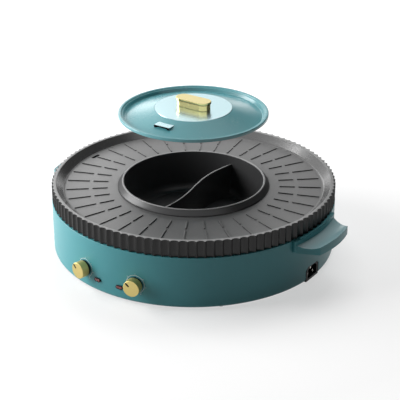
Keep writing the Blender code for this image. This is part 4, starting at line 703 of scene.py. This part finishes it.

# Lid. A pressed steel lid in teal enamel: rolled rim, shallow gutter, low dome and a steam louvre
# on the front, painted black inside as shade, under a flap of the same tinted steel as the disc in
# its crown.
LID_RADIUS = 0.1038
LID_SEAT = 0.1982
LID_TOP = 0.2009
LID_LOW = 0.1965
LID_WALL = 0.0013
GUTTER_RADIUS = 0.0953
GUTTER_HEIGHT = 0.1941
LID_FLAT = 0.2062
DISC_RADIUS = 0.0536
DISC_LOW = 0.2055
DISC_TOP = 0.2066
DISC_ROUND = 0.0005
DISC_SEAT = 0.2052
CROWN_UNDER = 0.2039
KNOB_SCREW = 0.0024
LID_STEPS = 200
STEAM_WIDE = 0.025
STEAM_NEAR = 0.0757
STEAM_FAR = 0.0622
STEAM_RISE = 0.0034
SLIT_OUT = 0.0704
SLIT_LONG = 0.0070
FLAP_THICKNESS = 0.0009
HOOD_WALL = 0.001
HOOD_LEAN = 0.001
HOOD_SINK = 0.0007
MOUTH_SINK = 0.0008
MOUTH_DEPTH = 0.0078
LOUVRE_SHADE_FINISH, FLAP_FINISH = 1, 2
teal_enamel = coating("teal_enamel", (0.074, 0.275, 0.305), (0.068, 0.258, 0.288), 0.24, 0.30,
                      grain=0.0016, depth=0.00001, coat=0.3, coat_roughness=0.20, specular=0.5)
louvre_painted_shade = coating("louvre_painted_shade", (0.006, 0.006, 0.007), (0.010, 0.010, 0.011), 0.5, 0.7,
                            specular=0.1)
mirror_steel = coating("mirror_steel", (0.52, 0.73, 0.77), (0.56, 0.76, 0.80), 0.20, 0.26,
                       grain=0.003, depth=0.000006, metallic=1)
tree = mirror_steel.node_tree
where = tree.nodes["Texture Coordinate"]
wave = tree.nodes.new("ShaderNodeTexWave")
wave.wave_type = "RINGS"
wave.rings_direction = "Z"
wave.inputs["Scale"].default_value = 500
wave.inputs["Distortion"].default_value = 0.6
polish = tree.nodes.new("ShaderNodeBump")
polish.inputs["Strength"].default_value = 1
polish.inputs["Distance"].default_value = 0.0000015
tree.links.new(where.outputs["Object"], wave.inputs["Vector"])
tree.links.new(wave.outputs["Fac"], polish.inputs["Height"])
tree.links.new(tree.nodes["bump"].outputs["Normal"], polish.inputs["Normal"])
tree.links.new(polish.outputs["Normal"], tree.nodes["Principled BSDF"].inputs["Normal"])
pocket = DISC_RADIUS + SEAT_GAP
shape = turned([(LID_RADIUS - 0.0002, LID_TOP), (LID_RADIUS, LID_LOW), (LID_RADIUS - LID_WALL, LID_LOW),
                (LID_RADIUS - LID_WALL, LID_SEAT), (GUTTER_RADIUS + LID_WALL + 0.0009, LID_SEAT),
                (GUTTER_RADIUS + LID_WALL, GUTTER_HEIGHT),
                (GUTTER_RADIUS - 0.0007, GUTTER_HEIGHT - LID_WALL),
                (pocket + LID_WALL, CROWN_UNDER + 0.0003), (pocket - LID_WALL, CROWN_UNDER),
                (KNOB_SCREW, CROWN_UNDER), (KNOB_SCREW, DISC_SEAT), (pocket, DISC_SEAT),
                (pocket, LID_FLAT), (GUTTER_RADIUS, GUTTER_HEIGHT), (0.0973, 0.1991),
                (0.0986, 0.1991), (0.0998, LID_TOP)],
               [(0, 0.0012, 5), (1, 0.0004, 3), (12, 0.0003, 3), (13, 0.0012, 5), (14, 0.0006, 4),
                (15, 0.0005, 3), (16, 0.0010, 4)], LID_STEPS)

# The louvre's hood stands on the slope of the dome, drawn from the side and turned to the front.
dome_slope = (LID_FLAT - GUTTER_HEIGHT) / (GUTTER_RADIUS - DISC_RADIUS)
near_dome = GUTTER_HEIGHT + dome_slope * (GUTTER_RADIUS - STEAM_NEAR)
far_dome = GUTTER_HEIGHT + dome_slope * (GUTTER_RADIUS - STEAM_FAR)
hood_top = near_dome + STEAM_RISE
mouth_half = STEAM_WIDE / 2 - HOOD_WALL
hood = plate([(-STEAM_NEAR, near_dome - HOOD_SINK), (-STEAM_FAR, far_dome - HOOD_SINK),
              (-STEAM_FAR, far_dome), (-STEAM_FAR - HOOD_LEAN, hood_top), (-STEAM_NEAR, hood_top)],
             -STEAM_WIDE / 2, STEAM_WIDE / 2)
mouth = plate([(-STEAM_NEAR - CUT_PAST, near_dome - MOUTH_SINK),
               (-STEAM_NEAR + MOUTH_DEPTH, hood_top - FLAP_THICKNESS),
               (-STEAM_NEAR - CUT_PAST, hood_top - FLAP_THICKNESS)], -mouth_half, mouth_half)
slit = bmesh.new()
add_box(slit, (2 * mouth_half, SLIT_LONG, 0.02), Matrix.Translation((0, -SLIT_OUT, 0.2)))
shape = cut(shape, slit)
join(shape, cut(hood, mouth), facing_right)
for face in shape.faces:
    middle = face.calc_center_median()
    if face.normal.z > 0.99 and abs(middle.z - hood_top) < MARGIN and abs(middle.x) < STEAM_WIDE / 2:
        face.material_index = FLAP_FINISH
    # Faces inside the louvre, under the flap, are painted black as shade.
    inside = abs(middle.x) < mouth_half + MARGIN and abs(middle.y + STEAM_NEAR - 0.0035) < 0.0055
    if inside and middle.z < hood_top - 0.0005:
        face.material_index = LOUVRE_SHADE_FINISH
lid = add_piece("enamelled_lid", shape, "lid", "teal_enamel", teal_enamel, louvre_painted_shade,
                mirror_steel)
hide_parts("lid_shell")

# Polished disc. Thin stainless steel with a teal tint, its edge folded down, and faint rings from
# the polishing wheel round it.
shape = turned([(DISC_RADIUS, DISC_TOP), (DISC_RADIUS, DISC_LOW), (KNOB_SCREW, DISC_LOW),
                (KNOB_SCREW, DISC_TOP)], [(0, DISC_ROUND, 4)], LID_STEPS)
disc = add_piece("polished_disc", shape, "lid", "polished_disc", mirror_steel)
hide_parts("lid_disc")

# Lid knob. A gold-plated block with a slightly wider cap on it, both long ovals with softened
# edges, held by one screw from below. The rounded edges on either side of the seam between them
# are painted dark and dull, as shade.
GRIP_LONG = 0.0545
GRIP_WIDE = 0.0225
GRIP_INSET = 0.0013
BLOCK_LOW = 0.2069
BLOCK_TOP = 0.2151
CAP_LOW = 0.2154
CAP_TOP = 0.2187
BLOCK_ROUND = 0.0004
CAP_ROUND = 0.0007
CAP_BORE_DEPTH = 0.0021
SEAM_SHADE_FINISH = 1
polished_gold = coating("polished_gold", (0.80, 0.68, 0.30), (0.84, 0.73, 0.35), 0.10, 0.15,
                        grain=0.0008, depth=0.000003, metallic=1)
seam_painted_shade = coating("seam_painted_shade", (0.07, 0.05, 0.02), (0.11, 0.08, 0.03), 0.35, 0.5,
                    grain=0.0008, depth=0.000005, metallic=1)
brushed_gold = coating("brushed_gold", (0.92, 0.70, 0.30), (0.96, 0.75, 0.35), 0.18, 0.26,
                       grain=0.0008, depth=0.000005, metallic=1)


def long_oval(length, width, low, high, rounding, segments=4):
    """A long oval block with half-round ends and softened top and bottom edges."""
    shape = bmesh.new()
    add_box(shape, (length, width, high - low), Matrix.Translation((0, 0, (low + high) / 2)))
    rounded(shape, upright_edges(shape), width / 2 - 0.00002, 14)
    bmesh.ops.remove_doubles(shape, verts=shape.verts, dist=0.00008)
    rims = [edge for edge in shape.edges if abs(edge.verts[0].co.z - edge.verts[1].co.z) < 0.00001
            and edge.calc_face_angle(0) > 1]
    rounded(shape, rims, rounding, segments)
    bmesh.ops.recalc_face_normals(shape, faces=shape.faces)
    return shape


hole = bmesh.new()
drill(hole, KNOB_SCREW, BLOCK_LOW - CUT_PAST, BLOCK_TOP + CUT_PAST, Matrix.Identity(4))
shape = cut(long_oval(GRIP_LONG - 2 * GRIP_INSET, GRIP_WIDE - 2 * GRIP_INSET, BLOCK_LOW, BLOCK_TOP,
                      BLOCK_ROUND), hole)
for face in shape.faces:
    # The block's top edge is painted dark, as shade in the seam.
    if face.calc_center_median().z > BLOCK_TOP - BLOCK_ROUND:
        face.material_index = SEAM_SHADE_FINISH
block = add_piece("gold_grip_block", shape, "lid", "gold_metal", brushed_gold, seam_painted_shade)
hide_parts("lid_knob_block")
hole = bmesh.new()
drill(hole, KNOB_SCREW, CAP_LOW - CUT_PAST, CAP_LOW + CAP_BORE_DEPTH, Matrix.Identity(4))
shape = cut(long_oval(GRIP_LONG, GRIP_WIDE, CAP_LOW, CAP_TOP, CAP_ROUND), hole)
for face in shape.faces:
    # The cap's lower edge is painted dark, as shade in the seam.
    if face.calc_center_median().z < CAP_LOW + CAP_ROUND:
        face.material_index = SEAM_SHADE_FINISH
cap = add_piece("gold_grip_cap", shape, "lid", "gold_metal", polished_gold, seam_painted_shade)
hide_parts("lid_knob_cap")
refinish(sheet_steel, "lid_knob_screw")

# Handles. One moulding each side in the same teal plastic: a flange on the wall, a ridge that
# stands up just outside the pan's skirt, a dished shelf whose upward faces are painted paler as a
# highlight and made glossier, and a groove under it for the fingers.
HANDLE_ROOT_HALF = 0.053
HANDLE_TIP_HALF = 0.0400
HANDLE_TIP = 0.2315
HANDLE_TOP = 0.072
HANDLE_BOTTOM = 0.0595
TIP_CURVE = 0.150
HANDLE_CORNER = 0.003
SCOOP_RADIUS = 0.0256
SCOOP_CIRCLE = 0.2173
GROOVE_RADIUS = 0.010
GROOVE_CIRCLE = 0.217
GROOVE_DEPTH = 0.0045
GROOVE_HALF = 0.030
SHELF_STOCK = 0.0035
SHELF_ROOT = 0.185
SCREW_DEPTH = 0.0103
WALL_CUT = (0.05, 0.082)
FLANGE_LOW = 0.062
FLANGE_OUT = 0.0045
RIDGE_HALF = 0.0425
RIDGE_GAP = 0.0007
RIDGE_OUT = 0.0037
RIDGE_LOW = 0.072
RIDGE_RISE = 0.002
SHELF_ROUND = 0.0005
FLANGE_ROUND = 0.0006
SHELF_HIGHLIGHT_FINISH = 1


def circle_part(centre, radius, start, stop, steps):
    """Points on part of a circle."""
    angles = [start + (stop - start) * step / steps for step in range(steps + 1)]
    return [(centre[0] + radius * math.cos(angle), centre[1] + radius * math.sin(angle))
            for angle in angles]


# The shelf seen from above: a bowed tip, a rounded corner and a slanting side, and the same again
# below, closed inside the wall.
bow = HANDLE_TIP - TIP_CURVE
corner_x = bow + math.sqrt(TIP_CURVE ** 2 - HANDLE_TIP_HALF ** 2)
root_x = math.sqrt(BODY_RADIUS ** 2 - HANDLE_ROOT_HALF ** 2)
slant = math.atan2(HANDLE_ROOT_HALF - HANDLE_TIP_HALF, corner_x - root_x)
bow_turn = math.asin(HANDLE_TIP_HALF / TIP_CURVE) - HANDLE_CORNER / TIP_CURVE
corner_arm = TIP_CURVE - HANDLE_CORNER
corner_centre = (bow + corner_arm * math.cos(bow_turn), corner_arm * math.sin(bow_turn))
upper = circle_part((bow, 0), TIP_CURVE, 0, bow_turn, 20)
upper += circle_part(corner_centre, HANDLE_CORNER, bow_turn, math.pi / 2 - slant, 10)[1:]
upper.append((root_x, HANDLE_ROOT_HALF))
lower = [(x, -y) for x, y in reversed(upper[1:])]
seen_above = lower + upper + [(SHELF_ROOT, HANDLE_ROOT_HALF), (SHELF_ROOT, -HANDLE_ROOT_HALF)]
scoop_centre = HANDLE_TOP + math.sqrt(SCOOP_RADIUS ** 2 - (HANDLE_TIP - SCOOP_CIRCLE) ** 2)
groove_centre = HANDLE_BOTTOM + GROOVE_DEPTH - GROOVE_RADIUS


def curved_bar(inner, outer, half, low, high):
    """A bar that follows the round wall, centred on +X."""
    swing = math.asin(half / BODY_RADIUS)
    outline = circle_part((0, 0), outer, -swing, swing, 30)
    outline += circle_part((0, 0), inner, swing, -swing, 30)
    return plate(outline, low, high)


def softened(shape, size, segments):
    """Rounds every edge of a shape that is sharper than 35 degrees."""
    sharp = [edge for edge in shape.edges
             if len(edge.link_faces) == 2 and edge.calc_face_angle(0) > math.radians(35)]
    bmesh.ops.bevel(shape, geom=sharp, offset=size, segments=segments, profile=0.5, affect="EDGES",
                    clamp_overlap=True, material=-1)
    return shape


shelf_painted_highlight = coating("shelf_painted_highlight", (0.300, 0.480, 0.510), (0.260, 0.440, 0.470), 0.24, 0.32,
                    grain=0.0011, depth=0.000006, coat=0.4, coat_roughness=0.18)
for side, turn in (("right", 0), ("left", math.pi)):
    scoop = turned(circle_part((SCOOP_CIRCLE, scoop_centre), SCOOP_RADIUS, 0, -math.pi, 48), [],
                   BODY_STEPS)
    shelf = cut(plate(seen_above, HANDLE_BOTTOM, HANDLE_TOP + SHELF_STOCK), scoop)
    groove = plate(circle_part((GROOVE_CIRCLE, groove_centre), GROOVE_RADIUS, 0, math.pi, 24),
                   -GROOVE_HALF, GROOVE_HALF)
    bmesh.ops.rotate(groove, verts=groove.verts, cent=(0, 0, 0),
                     matrix=Matrix.Rotation(math.pi / 2, 3, "X"))
    shelf = cut(shelf, groove)
    wall = bmesh.new()
    drill(wall, BODY_RADIUS + SEAT_GAP, *WALL_CUT, Matrix.Identity(4), BODY_STEPS)
    shelf = cut(shelf, wall)
    bmesh.ops.remove_doubles(shelf, verts=shelf.verts, dist=0.00003)
    shelf = cut(softened(shelf, SHELF_ROUND, 2),
                drill_handle_screws(bmesh.new(), 1, -CUT_PAST, SCREW_DEPTH))
    flange = curved_bar(BODY_RADIUS + SEAT_GAP, BODY_RADIUS + FLANGE_OUT, HANDLE_ROOT_HALF, FLANGE_LOW,
                        BODY_TOP)
    join(shelf, cut(softened(flange, FLANGE_ROUND, 3),
                    drill_handle_screws(bmesh.new(), 1, -CUT_PAST, SCREW_DEPTH)))
    ridge = curved_bar(BODY_RADIUS + RIDGE_GAP, BODY_RADIUS + RIDGE_OUT, RIDGE_HALF, RIDGE_LOW,
                       BODY_TOP + RIDGE_RISE)
    join(shelf, softened(ridge, SHELF_ROUND, 3))
    bmesh.ops.rotate(shelf, verts=shelf.verts, cent=(0, 0, 0), matrix=Matrix.Rotation(turn, 3, "Z"))
    shelf.normal_update()
    # Upward faces of the shelf beyond the flange are painted paler, as a highlight.
    for face in shelf.faces:
        middle = face.calc_center_median()
        beyond_flange = middle.xy.length > BODY_RADIUS + FLANGE_OUT
        if face.normal.z > 0.5 and beyond_flange and middle.z > HANDLE_BOTTOM + 0.002:
            face.material_index = SHELF_HIGHLIGHT_FINISH
    grip = add_piece("side_handle_" + side, shelf, "base", "teal_housing", teal_moulding, shelf_painted_highlight)
    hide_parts("handle_" + side)

# Dials. Each knob is a turned brass cup with a matt spun sheen and a black pointer let into its
# face. A black ring behind it frames it and holds the thermostat's nut.
KNOB_RADIUS = 0.0113
KNOB_BACK = 0.0034
KNOB_FRONT = 0.0141
SHAFT_BORE = 0.0033
BORE_END = 0.0117
RING_OUTER = 0.0106
RING_INNER = 0.0076
RING_FRONT = 0.0031
NUT_SEAT = 0.0011
POINTER_TURN = math.radians(47)
POINTER_OUT = 0.0072
POINTER_SLOT = (0.0026, 0.0068, 0.0034)
SLOT_PAST = 0.0004
black_plastic = coating("black_plastic", (0.010, 0.010, 0.011), (0.015, 0.015, 0.016), 0.30, 0.42,
                        grain=0.0005, depth=0.00002, specular=0.15)
spun_gold = coating("spun_gold", (0.52, 0.42, 0.16), (0.56, 0.46, 0.18), 0.40, 0.48,
                    grain=0.0005, depth=0.000004, metallic=1)
for side, turn in (("left", -KNOB_ANGLE), ("right", KNOB_ANGLE)):
    place = outwards(turn, BODY_RADIUS, KNOB_HEIGHT)
    ring = turned([(RING_OUTER, RING_FRONT), (RING_OUTER, SEAT_GAP), (DIAL_HOLE, SEAT_GAP),
                   (DIAL_HOLE, NUT_SEAT), (RING_INNER, NUT_SEAT), (RING_INNER, RING_FRONT)],
                  [(0, 0.0005, 3), (5, 0.0003, 2)], 64)
    bmesh.ops.transform(ring, verts=ring.verts, matrix=place)
    surround = add_piece("dial_ring_" + side, ring, "base", "black_plastic", black_plastic)
    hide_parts("knob_bezel_" + side)
    cup = turned([(0, KNOB_FRONT), (KNOB_RADIUS, KNOB_FRONT), (KNOB_RADIUS, KNOB_BACK),
                  (SHAFT_BORE, KNOB_BACK), (SHAFT_BORE, BORE_END), (0, BORE_END)],
                 [(1, 0.0006, 4), (2, 0.0003, 2)], 96, closed=False)
    pointer_slot = bmesh.new()
    add_box(pointer_slot, POINTER_SLOT, Matrix.Rotation(POINTER_TURN, 4, "Z")
            @ Matrix.Translation((0, POINTER_OUT, KNOB_FRONT + SLOT_PAST)))
    cup = cut(cup, pointer_slot)
    bmesh.ops.transform(cup, verts=cup.verts, matrix=place)
    knob = add_piece("gold_knob_" + side, cup, "knob_" + side, "gold_metal", spun_gold)
    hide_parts("knob_" + side)
    refinish(black_plastic, "knob_pointer_" + side)

# Printed scales. White ink on the housing: a broken ring round each dial with short marks outside
# it, from off at the lower left to full heat.
SCALE_SWING = math.radians(150)
SCALE_OUTER = 0.01315
SCALE_INNER = 0.01270
MARK_START = 0.0142
LAST_MARK = 6
LONG_MARK = 0.0020
SHORT_MARK = 0.0012
MARK_WIDE = 0.0004
INK = 0.00005
INK_GAP = 0.00004
white_ink = coating("white_ink", (0.72, 0.76, 0.76), (0.80, 0.84, 0.84), 0.45, 0.60,
                    grain=0.0003, depth=0.000002)
for side, turn in (("left", -KNOB_ANGLE), ("right", KNOB_ANGLE)):
    scale = bmesh.new()
    first_end = math.pi / 2 - SCALE_SWING
    other_end = math.pi / 2 + SCALE_SWING
    outline = circle_part((0, 0), SCALE_OUTER, first_end, other_end, 72)
    outline += circle_part((0, 0), SCALE_INNER, other_end, first_end, 72)
    join(scale, plate(outline, 0, INK))
    for mark in range(LAST_MARK + 1):
        angle = math.pi / 2 + SCALE_SWING * (1 - 2 * mark / LAST_MARK)
        long = LONG_MARK if mark in (0, LAST_MARK) else SHORT_MARK
        add_box(scale, (long, MARK_WIDE, INK), Matrix.Rotation(angle, 4, "Z")
                @ Matrix.Translation((MARK_START + long / 2, 0, INK / 2)))
    for corner in scale.verts:
        around = turn + corner.co.x / BODY_RADIUS
        out = BODY_RADIUS + INK_GAP + corner.co.z
        corner.co = (out * math.sin(around), -out * math.cos(around), KNOB_HEIGHT + corner.co.y)
    bmesh.ops.recalc_face_normals(scale, faces=scale.faces)
    add_piece("dial_scale_" + side, scale, "base", "teal_housing", white_ink)

# Indicator lights. Each is a black oval plastic frame whose sleeve pushes through a slot in the
# wall, with a glossy dark red lens pressed into its front.
LIGHT_WIDE = 0.0110
LIGHT_TALL = 0.0056
LIGHT_FRONT = 0.0019
POCKET_INSET = 0.0018
POCKET_BACK = 0.0007
LENS_INSET = 0.0024
LENS_BACK = 0.0010
SLEEVE = (0.0084, 0.0030, 0.0106)
SLEEVE_MIDDLE = -0.0047
red_lens = coating("red_lens", (0.115, 0.006, 0.008), (0.19, 0.012, 0.012), 0.08, 0.14,
                   grain=0.002, depth=0.000004, coat=0.6, coat_roughness=0.04)
for side, turn in (("left", -LIGHT_ANGLE), ("right", LIGHT_ANGLE)):
    place = outwards(turn, BODY_RADIUS, LIGHT_HEIGHT)
    oval = cut(long_oval(LIGHT_WIDE, LIGHT_TALL, SEAT_GAP, LIGHT_FRONT, 0.0004, 3),
               long_oval(LIGHT_WIDE - POCKET_INSET, LIGHT_TALL - POCKET_INSET, POCKET_BACK, 0.0028,
                         0.00005, 1))
    add_box(oval, SLEEVE, Matrix.Translation((0, 0, SLEEVE_MIDDLE)))
    bmesh.ops.transform(oval, verts=oval.verts, matrix=place)
    surround = add_piece("light_frame_" + side, oval, "base", "black_plastic", black_plastic)
    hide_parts("indicator_bezel_" + side)
    lens = long_oval(LIGHT_WIDE - LENS_INSET, LIGHT_TALL - LENS_INSET, LENS_BACK, LIGHT_FRONT, 0.0003, 3)
    bmesh.ops.transform(lens, verts=lens.verts, matrix=place)
    pane = add_piece("light_lens_" + side, lens, "base", "red_lens", red_lens)
    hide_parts("indicator_lens_" + side)

# Power inlet. A black moulding with its two upper corners cut off, snapped into the notch low on
# the right, with a deep socket and three nickel-plated pins.
INLET_FACE = -0.0008
FACE_BACK = -0.0060
CORE_HALF = 0.0134
CORE_CHAMFER = 0.0040
CORE_FRONT = -0.0058
CORE_BACK = -0.0233
SOCKET_HALF = 0.0121
SOCKET_LOW = -0.0071
SOCKET_HIGH = 0.0091
SOCKET_END = -0.0168


def hollowed(outline, back, front):
    """An outline given thickness, with the socket cut into it."""
    socket = plate(clipped(SOCKET_HALF, SOCKET_LOW, SOCKET_HIGH, CORE_CHAMFER), SOCKET_END, CUT_PAST)
    return cut(plate(outline, back, front), socket)


shape = hollowed(clipped(INLET_HALF, -INLET_RISE, INLET_RISE, INLET_CHAMFER), FACE_BACK, INLET_FACE)
join(shape, hollowed(clipped(CORE_HALF, COVER_TOP + SEAT_GAP - INLET_MIDDLE, INLET_RISE, CORE_CHAMFER),
                     CORE_BACK, CORE_FRONT))
bmesh.ops.transform(shape, verts=shape.verts, matrix=inlet_place)
inlet = add_piece("mains_inlet", shape, "base", "black_plastic", black_plastic)
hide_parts("inlet_housing")
nickel = coating("nickel_plate", (0.62, 0.60, 0.56), (0.68, 0.66, 0.62), 0.18, 0.28,
                 grain=0.0004, depth=0.000004, metallic=1)
refinish(nickel, "inlet_pin_earth", "inlet_pin_live", "inlet_pin_neutral")

# Heating. Out of sight under the pan: the pressed shield, the sheathed ring and its clips, the
# cast hot plate, the fuse and the cup that catches fat below the drain slot.
heater_sheath = coating("heater_sheath", (0.10, 0.095, 0.09), (0.15, 0.14, 0.13), 0.35, 0.55,
                        grain=0.0006, depth=0.00001, metallic=0.9)
cast_plate = coating("cast_hot_plate", (0.42, 0.42, 0.43), (0.50, 0.50, 0.51), 0.38, 0.55,
                     grain=0.0008, depth=0.00003, metallic=0.9, spots=0.5)
refinish(sheet_steel, "heat_shield", "heater_clip_left", "heater_clip_rear", "drip_cup",
         "thermal_fuse")
refinish(heater_sheath, "grill_heater")
refinish(cast_plate, "pot_heater")

# Wiring. A ceramic terminal block, two thermostats behind the dials with steel nuts and shafts,
# and leads in a rough woven glass sleeve.
ceramic = coating("glazed_ceramic", (0.70, 0.69, 0.64), (0.76, 0.75, 0.71), 0.35, 0.55,
                  grain=0.0007, depth=0.00002)
sleeve_cloth = coating("woven_sleeve", (0.52, 0.48, 0.40), (0.60, 0.56, 0.48), 0.70, 0.90,
                       grain=0.0005, depth=0.00012, spots=0.8)
refinish(ceramic, "terminal_block", "thermostat_left", "thermostat_right")
refinish(sheet_steel, "thermostat_nut_left", "thermostat_nut_right", "thermostat_shaft_left",
         "thermostat_shaft_right")
refinish(sleeve_cloth, *[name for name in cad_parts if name.startswith("lead_")])
